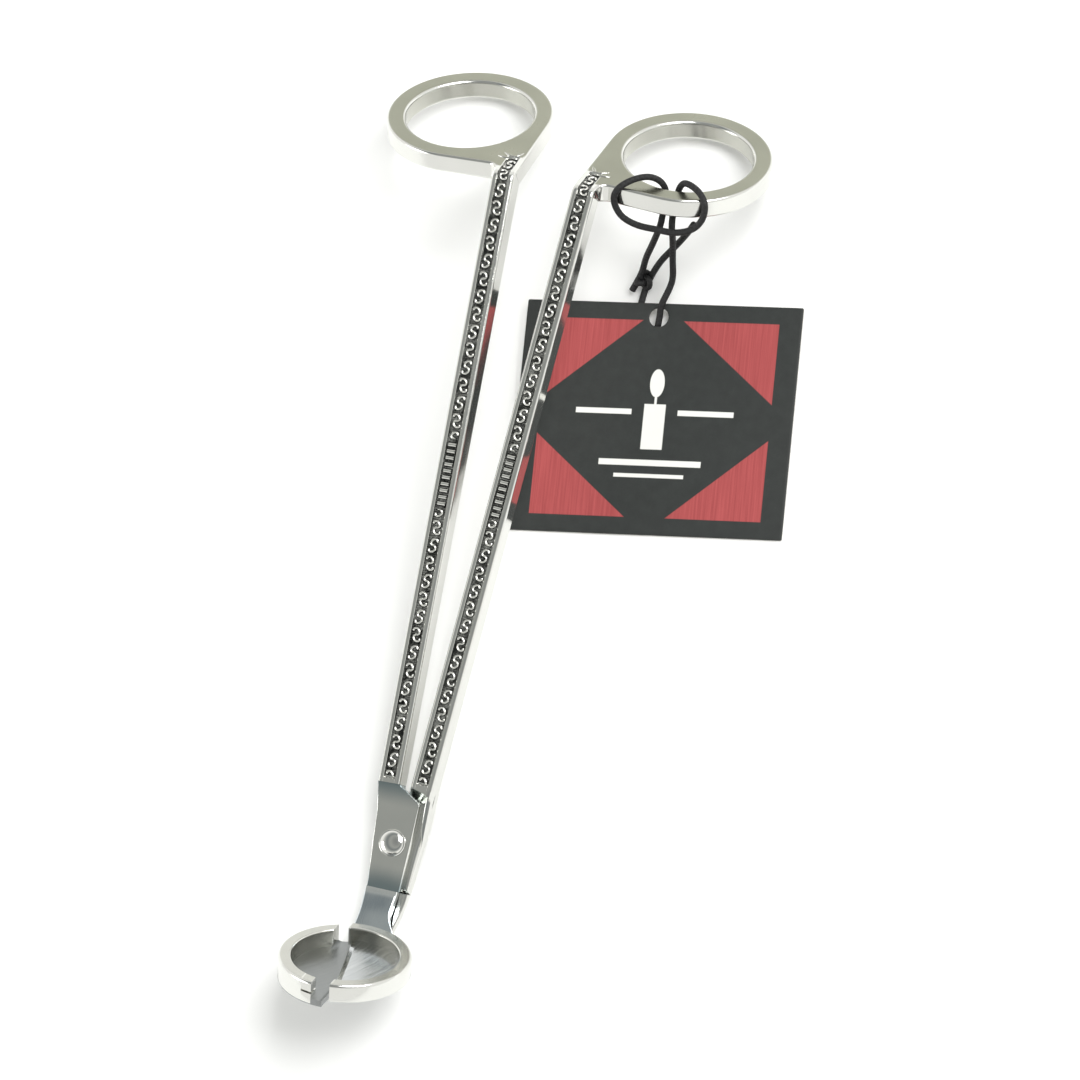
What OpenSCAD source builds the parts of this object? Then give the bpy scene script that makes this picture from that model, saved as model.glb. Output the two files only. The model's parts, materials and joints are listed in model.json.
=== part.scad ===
// Wick trimmer with two crossing levers on one rivet, lying face up on a table.
// Lever frame used by the modules: X across, Y from the pivot up the arms, Z out of the front.
// The last step, lying(), tips the finished object onto its bows and its heel.

/* [Arms] */
// Distance from the pivot to the crease where each arm turns into its finger bow
arm_length = 121.7; // [95:0.1:155]
// Distance from the pivot to the lower end of each thick arm
arm_start = 10.5; // [10.3:0.1:13]
// Width of each arm
arm_width = 4.2; // [3.5:0.1:5.2]
// How far each arm's centreline passes beside the pivot
arm_offset = 2.7; // [2.5:0.1:3.5]
// How far each arm leans from the line of symmetry at rest
open_angle = 2.37; // [1.5:0.1:6]
// Width of the chamfer along the arms' edges
edge_chamfer = 0.45; // [0.2:0.05:0.7]

/* [Scroll panel] */
// Width of the sunk panel along the front of each arm
panel_width = 2.2; // [1.7:0.1:2.5]
// Depth of the sunk panel
panel_depth = 0.4; // [0.25:0.05:0.6]
// Length of one scroll along the arm
scroll_pitch = 3.25; // [2.6:0.05:5]
// Length of the reeded plate in the middle of each arm
reed_length = 11.9; // [8:0.1:20]
// How far the panel runs on over the crease
panel_over = 4.6; // [3:0.1:6]

/* [Finger bows] */
// Bore of each finger bow
bow_bore = 23.4; // [19:0.1:28]
// Radial width of the bow's rim
bow_rim = 3.45; // [2.9:0.05:4.5]
// Thickness of each bow
bow_thickness = 3.7; // [3:0.1:4.2]
// Angle between the bows and the arms
bow_tilt = 51; // [35:1:60]
// Distance from the crease to the near side of the bow's ring
bow_reach = 3; // [2.4:0.1:5]
// Radius of the bow's rounded edges
bow_round = 0.5; // [0.2:0.1:0.9]
// Radius of the hollow corner between arm and bow
bow_fillet = 1.7; // [0.8:0.1:2.2]

/* [Pivot] */
// Thickness of each lapped pivot plate
plate_thickness = 1.95; // [1.6:0.05:2.5]
// How far the arms' fronts stand above the front pivot plate
arm_step = 0.45; // [0.2:0.05:1]
// Free gap between the two pivot plates
plate_gap = 0.06; // [0.04:0.01:0.15]
// Reach of each plate from the pivot on the side away from its own arm
plate_inner = 3.35; // [3:0.05:4]
// Reach of the front plate from the pivot on its own arm's side
front_outer = 3.9; // [3.7:0.1:4.4]
// Reach of the rear plate from the pivot on its own arm's side
rear_outer = 4.9; // [4.3:0.1:5.2]
// Diameter of the rivet's shank
rivet_shank = 3; // [2.4:0.1:4]
// Radial running clearance of the rivet in the front plate
rivet_clearance = 0.04; // [0.02:0.01:0.08]
// Diameter of the rivet's front head
rivet_head = 4.9; // [4.4:0.1:5.8]
// Height of the rivet's front head
rivet_head_height = 0.95; // [0.6:0.05:1.4]
// Height of the peened tail behind the rear plate
rivet_tail_height = 0.6; // [0.4:0.1:0.9]

/* [Catch tray] */
// Outer diameter of the round tray
tray_diameter = 23.8; // [20:0.1:30]
// Width of the tray's wall
wall_width = 2.3; // [1.8:0.1:3]
// Depth of the upper half, from its rim to its underside
wall_height = 3.45; // [3.1:0.05:5]
// Thickness of the upper blade
blade_thickness = 1.05; // [0.8:0.05:1.5]
// Thickness of the lower blade
lower_thickness = 1.2; // [1:0.05:2]
// Gap between the two blades
blade_gap = 0.2; // [0.15:0.05:0.4]
// How much lower the rim of the lower half is
rim_drop = 0.4; // [0:0.1:0.8]
// Angle between the tray and the arms
tray_tilt = 60; // [50:1:64]
// Distance from the pivot down to the neck's bend
neck_start = 8.4; // [7:0.1:11]
// Distance from the bend down to the back of the tray's rim
neck_length = 6.65; // [6:0.05:9]
// How far the back of the tray's rim stands in front of the levers' lap plane
neck_rise = 3.55; // [3:0.05:4.5]
// Half width of the front neck
neck_half = 3; // [2.5:0.1:3.5]

/* [Elastic loop and tag] */
// Diameter of the elastic cord
cord_diameter = 1.2; // [0.9:0.1:1.3]
// Width of the hang tag
tag_width = 51.5; // [40:0.5:56]
// Height of the hang tag
tag_height = 43; // [35:0.5:50]
// Thickness of the tag's card
tag_thickness = 0.45; // [0.3:0.05:0.8]
// Diameter of the tag's hole
tag_hole = 3.6; // [3.6:0.1:5]

/* [Hidden] */

FRONT = -1;                     // side of the front lever's arm
REAR = 1;                       // side of the rear lever's arm
curve_fn = 96;
far = 120;                      // longer than anything a cutter has to pass
arm_back = -plate_thickness;
arm_front = plate_thickness + arm_step;
arm_thickness = arm_front - arm_back;
half_gap = plate_gap / 2;

// Finger bow, in its own plane: X outward, Y away from the crease, Z out of its face.
bow_radius = bow_bore / 2 + bow_rim;
bow_x = bow_radius - arm_width / 2;
bow_y = bow_reach + bow_radius;

// Mitre between arm and bow: from the crease to where the two back faces meet.
bow_back_run = (arm_thickness - bow_thickness * cos(bow_tilt)) / sin(bow_tilt);
mitre_back_y = -bow_thickness * sin(bow_tilt) + bow_back_run * cos(bow_tilt);
mitre_angle = atan2(-mitre_back_y, arm_thickness);

// Lap joint: each plate turns inside this radius.
shoulder_y = 7.85;
lap_clearance = 0.3;
lap_radius = norm([plate_inner, shoulder_y]) + lap_clearance;
scoop_flare = 1.3;

// Catch tray, in its own plane: X across, Y back to the neck, Z out of the open side.
tray_radius = tray_diameter / 2;
rim_back_y = -neck_start - neck_length;
tray_y = rim_back_y - tray_radius * cos(tray_tilt);
tray_z = neck_rise + tray_radius * sin(tray_tilt);
upper_under = -wall_height;
lower_top = upper_under - blade_gap;
lower_under = lower_top - lower_thickness;
edge_back_x = -3.1;             // cutting edge of the upper blade at the back of the tray
edge_front_x = 1.9;             // and at the front notch
notch_left_x = -1.6;            // front end of the lower half's wall
gap_back_x = -5.5;              // back end of the lower half's wall
neck_relief = 0.5;              // room under the upper half for the rear neck

// ---- resting pose -------------------------------------------------------------------
function yaw(v, side) = [side * (v.x * cos(open_angle) + v.y * sin(open_angle)),
    -v.x * sin(open_angle) + v.y * cos(open_angle), v.z];
function tip(v, angle) = [v.x, v.y * cos(angle) - v.z * sin(angle),
    v.y * sin(angle) + v.z * cos(angle)];
// How far a round disc with rounded edges reaches along the unit vector d.
function disc_reach(centre, axis, radius, thick, round, d) = centre * d
    + (radius - round) * sqrt(max(0, 1 - pow(axis * d, 2)))
    + (thick / 2 - round) * abs(axis * d) + round;

bow_axis = yaw([0, sin(bow_tilt), cos(bow_tilt)], 1);
bow_centre = yaw([arm_offset + bow_x,
    arm_length + bow_y * cos(bow_tilt) - bow_thickness / 2 * sin(bow_tilt),
    arm_front - bow_y * sin(bow_tilt) - bow_thickness / 2 * cos(bow_tilt)], 1);
tray_axis = [0, sin(tray_tilt), cos(tray_tilt)];

function bow_low(t) = -disc_reach(tip(bow_centre, t), tip(bow_axis, t), bow_radius,
    bow_thickness, bow_round, [0, 0, -1]);
function heel_low(t) = tip([0, -neck_start, arm_back], t).z;
// Tilt at which the heel and both bows touch the table, by repeated correction.
function settle(t, n) = n == 0 ? t
    : settle(t + (heel_low(t) - bow_low(t)) / (bow_centre.y + neck_start) * 180 / PI, n - 1);
rest_tilt = settle(8, 12);
low_z = heel_low(rest_tilt);
high_y = disc_reach(tip(bow_centre, rest_tilt), tip(bow_axis, rest_tilt), bow_radius,
    bow_thickness, bow_round, [0, 1, 0]);
lower_middle = [0, tray_y, tray_z] + (lower_under + lower_thickness / 2) * tray_axis;
low_y = -disc_reach(tip(lower_middle, rest_tilt), tip(tray_axis, rest_tilt), tray_radius,
    lower_thickness, 0, [0, -1, 0]);

module lying() {
    translate([0, -(low_y + high_y) / 2, -low_z])
        rotate([rest_tilt, 0, 0])
            children();
}

// ---- frames of the arms, bows and tray ------------------------------------------------
module arm_frame(side) {
    if (side < 0) mirror([1, 0, 0]) arm_frame(1) children();
    else rotate([0, 0, -open_angle]) translate([arm_offset, 0, 0]) children();
}

module tray_frame() {
    translate([0, tray_y, tray_z]) rotate([-tray_tilt, 0, 0]) children();
}

// Half space beyond the mitre, in the arm's frame.
module beyond_mitre() {
    translate([0, arm_length, arm_front])
        rotate([-mitre_angle, 0, 0])
            translate([-far / 2, 0, -far / 2]) cube(far);
}

// ---- levers' common pieces ------------------------------------------------------------
module arm_section() {
    half = arm_width / 2;
    c = edge_chamfer;
    polygon([[-half + c, arm_back], [half - c, arm_back], [half, arm_back + c],
        [half, arm_front - c], [half - c, arm_front], [-half + c, arm_front],
        [-half, arm_front - c], [-half, arm_back + c]]);
}

module arm_bar(y0, y1) {
    translate([0, y1, 0]) rotate([90, 0, 0]) linear_extrude(y1 - y0) arm_section();
}

module arm_panel_cut() {
    translate([-panel_width / 2, arm_start + 0.8, arm_front - panel_depth])
        cube([panel_width, arm_length, far]);
}

module shank(side) {
    arm_frame(side) difference() {
        arm_bar(arm_start, arm_length + arm_thickness);
        beyond_mitre();
        arm_panel_cut();
    }
}

// One S-shaped scroll, drawn flat.
module scroll_outline(size, stroke) {
    r = size / 4 + stroke / 4;
    for (turn = [0, 180]) rotate(turn) translate([0, r - stroke / 2]) difference() {
        circle(r, $fn = 24);
        circle(r - stroke, $fn = 24);
        translate([-r * 2, -r]) square([r * 2, r]);
    }
}

module scrollwork(side) {
    stroke = 0.5;
    height = panel_depth - 0.05;
    first = arm_start + 1.2;
    count = floor((arm_length - first - 1) / scroll_pitch);
    middle = (first + arm_length) / 2;
    arm_frame(side) translate([0, 0, arm_front - panel_depth]) {
        for (i = [0 : count - 1]) {
            y = first + (i + 0.5) * scroll_pitch;
            if (abs(y - middle) > (reed_length + scroll_pitch) / 2)
                translate([0, y, 0]) mirror([i % 2, 0, 0])
                    linear_extrude(height) scroll_outline(scroll_pitch - 0.4, stroke);
        }
        for (k = [-4 : 4])
            translate([0, middle + k * reed_length / 10, height / 2])
                cube([panel_width - 0.5, 0.6, height], center = true);
    }
}

module bow_outline() {
    half = arm_width / 2;
    f = min(bow_fillet, bow_reach);
    translate([bow_x, bow_y]) circle(bow_radius, $fn = curve_fn);
    translate([-half, -arm_thickness]) square([arm_width, bow_y + arm_thickness]);
    translate([-half, bow_reach]) square([bow_radius, bow_radius]);
    difference() {
        translate([half, bow_reach - f]) square(f);
        translate([half + f, bow_reach - f]) circle(f, $fn = 48);
    }
}

module bow(side) {
    arm_frame(side) intersection() {
        translate([0, arm_length, arm_front]) rotate([-bow_tilt, 0, 0]) bow_body();
        beyond_mitre();
    }
}

module bow_body() {
    difference() {
        union() {
            translate([bow_x, bow_y, 0]) bow_ring();
            difference() {
                translate([0, 0, -bow_thickness]) linear_extrude(bow_thickness) bow_outline();
                translate([bow_x, bow_y, 0]) bow_clear();
            }
        }
        translate([-panel_width / 2, -panel_over, -panel_depth])
            cube([panel_width, 2 * panel_over, far]);
    }
}

// Everything outside the near web that the rounded ring replaces.
module bow_clear() {
    translate([0, 0, -bow_thickness - 1]) cylinder(r = bow_radius - bow_rim / 2,
        h = bow_thickness + 2, $fn = curve_fn);
    translate([0, -bow_radius, -far / 2]) cube(far);
    translate([-bow_radius, 0, -far / 2]) cube(far);
}

module bow_ring() {
    t = bow_thickness;
    r = bow_round;
    r0 = bow_bore / 2;
    r1 = bow_radius;
    rotate_extrude($fn = curve_fn) union() {
        translate([r0 + r, -t]) square([bow_rim - 2 * r, t]);
        translate([r0, -t + r]) square([bow_rim, t - 2 * r]);
        for (x = [r0 + r, r1 - r]) for (y = [-r, -t + r])
            translate([x, y]) circle(r, $fn = 24);
    }
}

// ---- pivot plates -----------------------------------------------------------------------
// Drawn for the rear lever, whose arm is on the +X side; the front plate is its mirror image.
function plate_points(outer, neck_outer, neck_inner) = [
    yaw([arm_offset + arm_width / 2, arm_start, 0], 1),
    [outer, 0], [neck_outer, -neck_start], [-neck_inner, -neck_start],
    [-plate_inner, 0], [-plate_inner, shoulder_y],
    yaw([arm_offset - arm_width / 2, arm_start, 0], 1)];

module plate_slab(outer, neck_outer, neck_inner) {
    linear_extrude(plate_thickness - half_gap) intersection() {
        polygon([for (p = plate_points(outer, neck_outer, neck_inner)) [p.x, p.y]]);
        // on the other arm's side the shoulder stays inside the lap's circle
        union() {
            circle(lap_radius - lap_clearance, $fn = curve_fn);
            square(far);
            translate([-far / 2, -far]) square(far);
        }
    }
}

// End of the thick arm on the far side of the lap, scooped clear of the other plate.
module arm_root(z_far) {
    flip = z_far < 0 ? 1 : 0;
    difference() {
        intersection() {
            arm_frame(REAR) arm_bar(arm_start - 4, arm_start);
            // reaches just past the lap plane, into the slab it belongs to
            mirror([0, 0, flip]) translate([-far / 2, -far / 2, -plate_gap]) cube(far);
        }
        mirror([0, 0, flip]) {
            translate([0, 0, -1]) cylinder(r = lap_radius, h = far, $fn = curve_fn);
            cylinder(r1 = lap_radius, r2 = lap_radius + scoop_flare, h = abs(z_far),
                $fn = curve_fn);
        }
    }
}

rear_neck_outer = 4.4;
rear_neck_inner = 3.2;
front_neck_outer = 2.9;
front_neck_inner = 3.2;

module front_pivot_plate() {
    color("silver") lying() difference() {
        mirror([1, 0, 0]) union() {
            translate([0, 0, half_gap])
                plate_slab(front_outer, front_neck_outer, front_neck_inner);
            arm_root(arm_back);
        }
        translate([0, 0, -far / 2])
            cylinder(d = rivet_shank + 2 * rivet_clearance, h = far, $fn = 48);
    }
}

module rear_pivot_plate() {
    color("gainsboro") lying() difference() {
        union() {
            mirror([0, 0, 1]) translate([0, 0, half_gap])
                plate_slab(rear_outer, rear_neck_outer, rear_neck_inner);
            arm_root(arm_front);
            rear_cheek();
        }
        translate([0, 0, -far / 2]) cylinder(d = rivet_shank, h = far, $fn = 48);
    }
}

// Low cheek that runs down from the rear arm beside the front plate.
module rear_cheek() {
    top = yaw([arm_offset + arm_width / 2, arm_start, 0], 1);
    translate([0, 0, -half_gap]) linear_extrude(plate_thickness)
        polygon([[top.x, top.y], [rear_outer, 0.5], [plate_inner + 1, 3.5],
            [plate_inner + 0.85, shoulder_y], [plate_inner + 0.9, arm_start - 0.5]]);
}

module pivot_rivet() {
    head_base = plate_thickness + 0.03;
    color("whitesmoke") lying() {
        translate([0, 0, arm_back])
            cylinder(d = rivet_shank, h = head_base - arm_back, $fn = 48);
        translate([0, 0, head_base]) rivet_dome(rivet_head, rivet_head_height);
        translate([0, 0, arm_back]) mirror([0, 0, 1])
            rivet_dome(rivet_head - 0.6, rivet_tail_height);
    }
}

// Low domed head with a small flat on top.
module rivet_dome(d, h) {
    cap_radius = (d * d / 4 + h * h) / (2 * h);
    rotate_extrude($fn = 48) intersection() {
        translate([0, h - cap_radius]) circle(cap_radius, $fn = 96);
        square([d / 2, h - 0.08]);
    }
}

// ---- necks and tray -----------------------------------------------------------------------
// Side outline of a neck, drawn as Y and Z, and given its width along X.
module neck_plate(points, x0, x1) {
    translate([x0, 0, 0]) rotate([90, 0, 90]) linear_extrude(x1 - x0) polygon(points);
}

module tray_cylinder(r) {
    tray_frame() translate([0, 0, -far / 2]) cylinder(r = r, h = far, $fn = curve_fn);
}

module front_neck() {
    color("lightgray") lying() difference() {
        neck_plate([[-neck_start, half_gap], [-neck_start, plate_thickness],
            [rim_back_y, neck_rise], [rim_back_y - 4, neck_rise - 0.9],
            [rim_back_y - 2, neck_rise - 1.3]], -neck_half, neck_half);
        tray_cylinder(tray_radius);
    }
}

module rear_neck() {
    edge = [0, tray_y, tray_z] + tray_radius * [0, cos(tray_tilt), -sin(tray_tilt)];
    top = edge + (lower_top - neck_relief) * tray_axis;
    low = edge + lower_under * tray_axis;
    color("darkgray") lying() difference() {
        neck_plate([[-neck_start, arm_back], [-neck_start, -half_gap], [top.y, top.z],
            [top.y - 3, top.z + 1], [low.y - 3, low.z], [low.y, low.z]],
            -rear_neck_inner, rear_neck_outer);
        tray_cylinder(tray_radius);
    }
}

module disc_at(z0, z1, r = tray_radius) {
    translate([0, 0, z0]) cylinder(r = r, h = z1 - z0, $fn = curve_fn);
}

// Everything to the right of the upper blade's cutting edge.
module right_of_edge() {
    linear_extrude(far, center = true) polygon([
        [edge_back_x, tray_radius], [edge_front_x, -tray_radius], [far, -tray_radius],
        [far, tray_radius]]);
}

module upper_blade() {
    color("silver") lying() tray_frame() intersection() {
        disc_at(upper_under, upper_under + blade_thickness);
        right_of_edge();
    }
}

module upper_tray_wall() {
    color("gainsboro") lying() tray_frame() difference() {
        disc_at(upper_under + blade_thickness, 0);
        disc_at(upper_under, 1, tray_radius - wall_width);
        translate([-far + edge_front_x, -far, -far / 2]) cube([far, far, far]);
        translate([-far + edge_back_x, 0, -far / 2]) cube([far, far, far]);
    }
}

module lower_blade() {
    color("silver") lying() tray_frame() difference() {
        intersection() {
            disc_at(lower_under, lower_top);
            union() {
                translate([-far + 0.5, -far / 2, -far / 2]) cube(far);
                translate([-rear_neck_inner, 7, -far / 2])
                    cube([rear_neck_inner + rear_neck_outer, far, far]);
            }
        }
        // relief that keeps the back of the blade clear of the upper half as it swings
        translate([gap_back_x + 0.5, 4, lower_top]) rotate([-3.4, 0, 0]) cube([far, far, far]);
    }
}

module lower_tray_wall() {
    color("lightgray") lying() tray_frame() difference() {
        disc_at(lower_top, -rim_drop);
        disc_at(lower_top - 1, 1, tray_radius - wall_width);
        translate([notch_left_x, -far, -far / 2]) cube([far, far, far]);
        translate([gap_back_x, 0, -far / 2]) cube([far, far, far]);
        translate([notch_left_x - 2.1, -far, -rim_drop - 2.4]) cube([far, far, 0.5]);
    }
}

// ---- elastic cord, its knot and the hang tag, placed as they lie on the table -------------
// From the long free end, through the knot, under the tag and out of its hole, up behind the
// rear bow, over it twice as a hitch, and back through the knot to the short free end.
cord_route = [
    [27, 64.4, 17], [25.2, 63.6, 13.5], [22.4, 62.2, 9], [19, 59.6, 5], [16.8, 57, 1.6],
    [16.2, 54.6, 0.75], [16.2, 51.2, 0.68], [16.4, 48.4, 0.68], [18.2, 46.5, 0.68],
    [20.2, 47.8, 0.68], [20.6, 50, 1.8], [20.8, 52.2, 3.2], [22, 56.4, 4.8],
    [22.2, 59.6, 8.6], [22.8, 61.8, 13.4], [23, 63, 16.2], [22.9, 65.2, 17.4],
    [23, 67.5, 17], [23.2, 69.6, 19], [24.8, 70.4, 21.4], [27.5, 69.4, 21.9],
    [29.4, 67.4, 21.8], [29.3, 65.2, 20], [27.6, 63.2, 18.5], [24.4, 62, 18],
    [20.6, 61.9, 18], [17, 62, 18.2], [14.2, 62.8, 19.4], [12.9, 64.6, 21.8],
    [13.6, 66.5, 23.5], [15.8, 68.9, 22.9], [18.4, 70.2, 21.8], [20.4, 69.8, 20],
    [21, 67.8, 17.4], [21, 65.2, 17.4], [20.7, 63, 16.2], [18.6, 61.2, 11],
    [16.6, 59.4, 6.4], [15.4, 57.2, 3], [14, 54.2, 1.2]];
knot_place = [16, 56.3, 2];
tag_hole_place = [20.5, 50.1, 0];
tag_turn = 9.4;                 // how far the tag lies turned on the table
tag_lift = 1.6;                 // height of its top edge, which rests on the cord
tag_hole_drop = 2.6;            // from the top edge down to the middle of the hole
tag_hole_side = 1;              // from the card's middle to the hole, towards the levers

// Smooth curve through the route's points, two steps to each stretch.
function between(a, b, c, d, t) = 0.5 * (2 * b + (c - a) * t
    + (2 * a - 5 * b + 4 * c - d) * t * t + (3 * b - a - 3 * c + d) * t * t * t);
function smooth(p, steps) = let (n = len(p)) [
    for (i = [0 : n - 2]) for (k = [0 : steps - 1])
        between(p[max(i - 1, 0)], p[i], p[i + 1], p[min(i + 2, n - 1)], k / steps),
    p[n - 1]];
function unit(v) = v / norm(v);
function tangents(p) = let (n = len(p)) [
    for (i = [0 : n - 1]) unit(p[min(i + 1, n - 1)] - p[max(i - 1, 0)])];
// Side directions carried along the curve without twisting.
function sides(t, i = 0, found = []) = i == len(t) ? found
    : sides(t, i + 1, concat(found, [let (s = i == 0 ? cross(t[0], [0, 0, 1]) : found[i - 1])
        unit(s - (s * t[i]) * t[i])]));

module tube(route, radius, facets) {
    path = smooth(route, 2);
    along = tangents(path);
    side = sides(along);
    n = len(path);
    rings = [for (i = [0 : n - 1]) for (k = [0 : facets - 1])
        path[i] + radius * (cos(360 * k / facets) * side[i]
            + sin(360 * k / facets) * cross(along[i], side[i]))];
    walls = [for (i = [0 : n - 2]) for (k = [0 : facets - 1]) let (m = (k + 1) % facets)
        [i * facets + k, (i + 1) * facets + k, (i + 1) * facets + m, i * facets + m]];
    polyhedron(rings, concat(walls, [[for (k = [0 : facets - 1]) k]],
        [[for (k = [facets - 1 : -1 : 0]) (n - 1) * facets + k]]));
}

module elastic_cord() {
    color([0.08, 0.08, 0.08]) tube(cord_route, cord_diameter / 2, 8);
}

module cord_knot() {
    color([0.08, 0.08, 0.08]) translate(knot_place) rotate([0, 0, 55])
        scale(cord_diameter / 1.2) rotate_extrude($fn = 48) intersection() {
            circle(2, $fn = 48);
            translate([0, -1.7]) square([2, 3.4]);
        }
}

module hang_tag() {
    slope = asin(tag_lift / tag_height);
    top = tag_hole_drop;
    color([0.18, 0.19, 0.19])
        translate(tag_hole_place + [0, 0, (tag_height - top) * sin(slope)])
            rotate([0, 0, tag_turn]) rotate([slope, 0, 0]) linear_extrude(tag_thickness)
                difference() {
                    translate([tag_hole_side - tag_width / 2, top - tag_height])
                        square([tag_width, tag_height]);
                    circle(d = tag_hole, $fn = 48);
                }
}

color("silver") lying() shank(FRONT);  // front_shank
color("gray") lying() scrollwork(FRONT);  // front_scrollwork
color("silver") lying() bow(FRONT);  // front_bow
front_pivot_plate();
front_neck();
upper_blade();
upper_tray_wall();
color("silver") lying() shank(REAR);  // rear_shank
color("gray") lying() scrollwork(REAR);  // rear_scrollwork
color("silver") lying() bow(REAR);  // rear_bow
rear_pivot_plate();
rear_neck();
lower_blade();
lower_tray_wall();
pivot_rivet();
elastic_cord();
cord_knot();
hang_tag();
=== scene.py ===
# %% [markdown]
# A wick trimmer is a pair of long crossing levers with finger bows at one end and a small
# round catch tray at the other. It is a plated casting, so almost everything the eye reads
# is reflection: the shapes have to be clean and their edges rounded, because a polished
# edge shows up as one bright line. We load the measured frame first.

# %% Load the measured frame
import json
import math

import bpy
import numpy as np
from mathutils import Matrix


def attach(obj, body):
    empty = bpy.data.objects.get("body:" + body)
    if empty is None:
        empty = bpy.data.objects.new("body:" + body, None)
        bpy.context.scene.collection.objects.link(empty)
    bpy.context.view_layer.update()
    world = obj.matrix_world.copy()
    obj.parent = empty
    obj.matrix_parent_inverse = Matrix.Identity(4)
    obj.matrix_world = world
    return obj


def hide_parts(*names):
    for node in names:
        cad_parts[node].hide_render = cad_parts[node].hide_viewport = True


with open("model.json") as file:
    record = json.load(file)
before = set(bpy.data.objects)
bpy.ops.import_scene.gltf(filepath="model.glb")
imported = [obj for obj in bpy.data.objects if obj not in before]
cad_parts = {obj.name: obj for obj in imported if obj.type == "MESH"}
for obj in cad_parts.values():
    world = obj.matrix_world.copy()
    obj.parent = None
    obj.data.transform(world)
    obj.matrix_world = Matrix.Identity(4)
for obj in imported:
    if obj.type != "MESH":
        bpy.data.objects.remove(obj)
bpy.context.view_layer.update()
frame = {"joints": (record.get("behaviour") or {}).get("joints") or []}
pivot_joint = frame["joints"][0]

# %% [markdown]
# The camera comes before any shape, because every later choice is judged through it. A
# long lens from far away keeps the two arms almost parallel, and nothing looks bulged.
# The camera's own axes are written out as right, up and backwards, which is the way a
# rotation matrix stores them.

# %% Place the camera
view_back = np.array([0.3086, -0.1987, 0.9302])
view_right = np.array([0.9306, 0.2654, -0.2521])
view_target = np.array([14.37, 2.63, 14.48]) / 1000
view_distance = 1.437

view_back /= np.linalg.norm(view_back)
view_right -= view_right @ view_back * view_back
view_right /= np.linalg.norm(view_right)
view_up = np.cross(view_back, view_right)

camera_data = bpy.data.cameras.new("camera")
camera_data.lens = 268.75
camera_data.sensor_width = 36
camera_data.clip_end = 20
camera = bpy.data.objects.new("camera", camera_data)
bpy.context.scene.collection.objects.link(camera)
camera_matrix = np.eye(4)
camera_matrix[:3, 0], camera_matrix[:3, 1], camera_matrix[:3, 2] = view_right, view_up, view_back
camera_matrix[:3, 3] = view_target + view_back * view_distance
camera.matrix_world = camera_matrix.T.tolist()
bpy.context.scene.camera = camera
print("camera at", np.round(camera_matrix[:3, 3], 3))

# %% [markdown]
# Every metal surface here is a grid of points: a profile carried along a path, or a ring of
# profiles. One helper turns such a grid into a closed mesh. It joins neighbouring points
# into quads with index arrays, closes the ends with one flat face each, and turns the mesh
# the right way out by the sign of its volume.

# %% A helper that makes a closed mesh from a grid of points
def outward(points, faces):
    """Faces in the order that points them outwards: the solid's volume, summed over fans of
    triangles from each face's first corner, is positive when they do."""
    volume = 0.0
    for corners in faces:
        first = points[corners[:, 0]]
        for k in range(1, corners.shape[1] - 1):
            volume += np.einsum("ij,ij->", first,
                                np.cross(points[corners[:, k]], points[corners[:, k + 1]]))
    return faces if volume > 0 else [corners[:, ::-1] for corners in faces]


def grid_faces(rows, columns, ring_rows):
    """Quads between neighbouring rows and columns. Columns always close on themselves; rows
    close too when ring_rows is true, otherwise the two ends are closed by one face each."""
    last = rows if ring_rows else rows - 1
    r, c = np.meshgrid(np.arange(last), np.arange(columns), indexing="ij")
    r, c = r.ravel(), c.ravel()
    r2, c2 = (r + 1) % rows, (c + 1) % columns
    quads = np.stack([r * columns + c, r * columns + c2, r2 * columns + c2, r2 * columns + c], 1)
    if ring_rows:
        return [quads]
    ends = np.stack([np.arange(columns)[::-1], (rows - 1) * columns + np.arange(columns)])
    return [quads, ends]


def make_mesh(name, shells, crease=32):
    """One object from one or more (points in metres, faces) shells, smooth but for edges
    sharper than crease degrees."""
    verts, polys, start = [], [], 0
    for points, faces in shells:
        points = np.asarray(points, float).reshape(-1, 3)
        for corners in outward(points, faces):
            polys += (corners + start).tolist()
        verts.append(points)
        start += len(points)
    mesh = bpy.data.meshes.new(name)
    mesh.from_pydata(np.concatenate(verts).tolist(), [], polys)
    mesh.polygons.foreach_set("use_smooth", np.ones(len(polys), bool))
    mesh.update()
    mesh.set_sharp_from_angle(angle=math.radians(crease))
    obj = bpy.data.objects.new(name, mesh)
    bpy.context.scene.collection.objects.link(obj)
    print(f"{name}: {len(mesh.vertices)} points, {len(polys)} faces")
    return obj


def smoothstep(x):
    """Nought below 0, one above 1, and a smooth rise between."""
    x = np.clip(x, 0, 1)
    return x * x * (3 - 2 * x)


# %% [markdown]
# The levers are easiest to describe in their own frame: X across, Y from the pivot up the
# arms, Z out of the front. The hinge's axis in the record tells how far that frame is
# tipped as the trimmer lies on the table, so one function takes everything there.

# %% From the levers' frame to the table
MM = 0.001
pivot_at = np.array(pivot_joint["pos_m"])
lie_angle = math.asin(-pivot_joint["axis"][1])
open_angle = math.radians(2.37)
FRONT, REAR = -1, 1


def on_table(points):
    """Turns points in millimetres about X by the resting angle and sets them at the pivot."""
    p = np.asarray(points, float) * MM
    c, s = math.cos(lie_angle), math.sin(lie_angle)
    turned = np.stack([p[..., 0], p[..., 1] * c - p[..., 2] * s, p[..., 1] * s + p[..., 2] * c], -1)
    return turned + pivot_at


def on_arm(side, points):
    """From one arm's frame, with X pointing outwards, to the table: shifted beside the
    pivot, leaned outwards by the opening angle, and mirrored for the front lever."""
    p = np.asarray(points, float)
    x, y = p[..., 0] + arm_offset, p[..., 1]
    c, s = math.cos(open_angle), math.sin(open_angle)
    return on_table(np.stack([side * (x * c + y * s), -x * s + y * c, p[..., 2]], -1))


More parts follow.
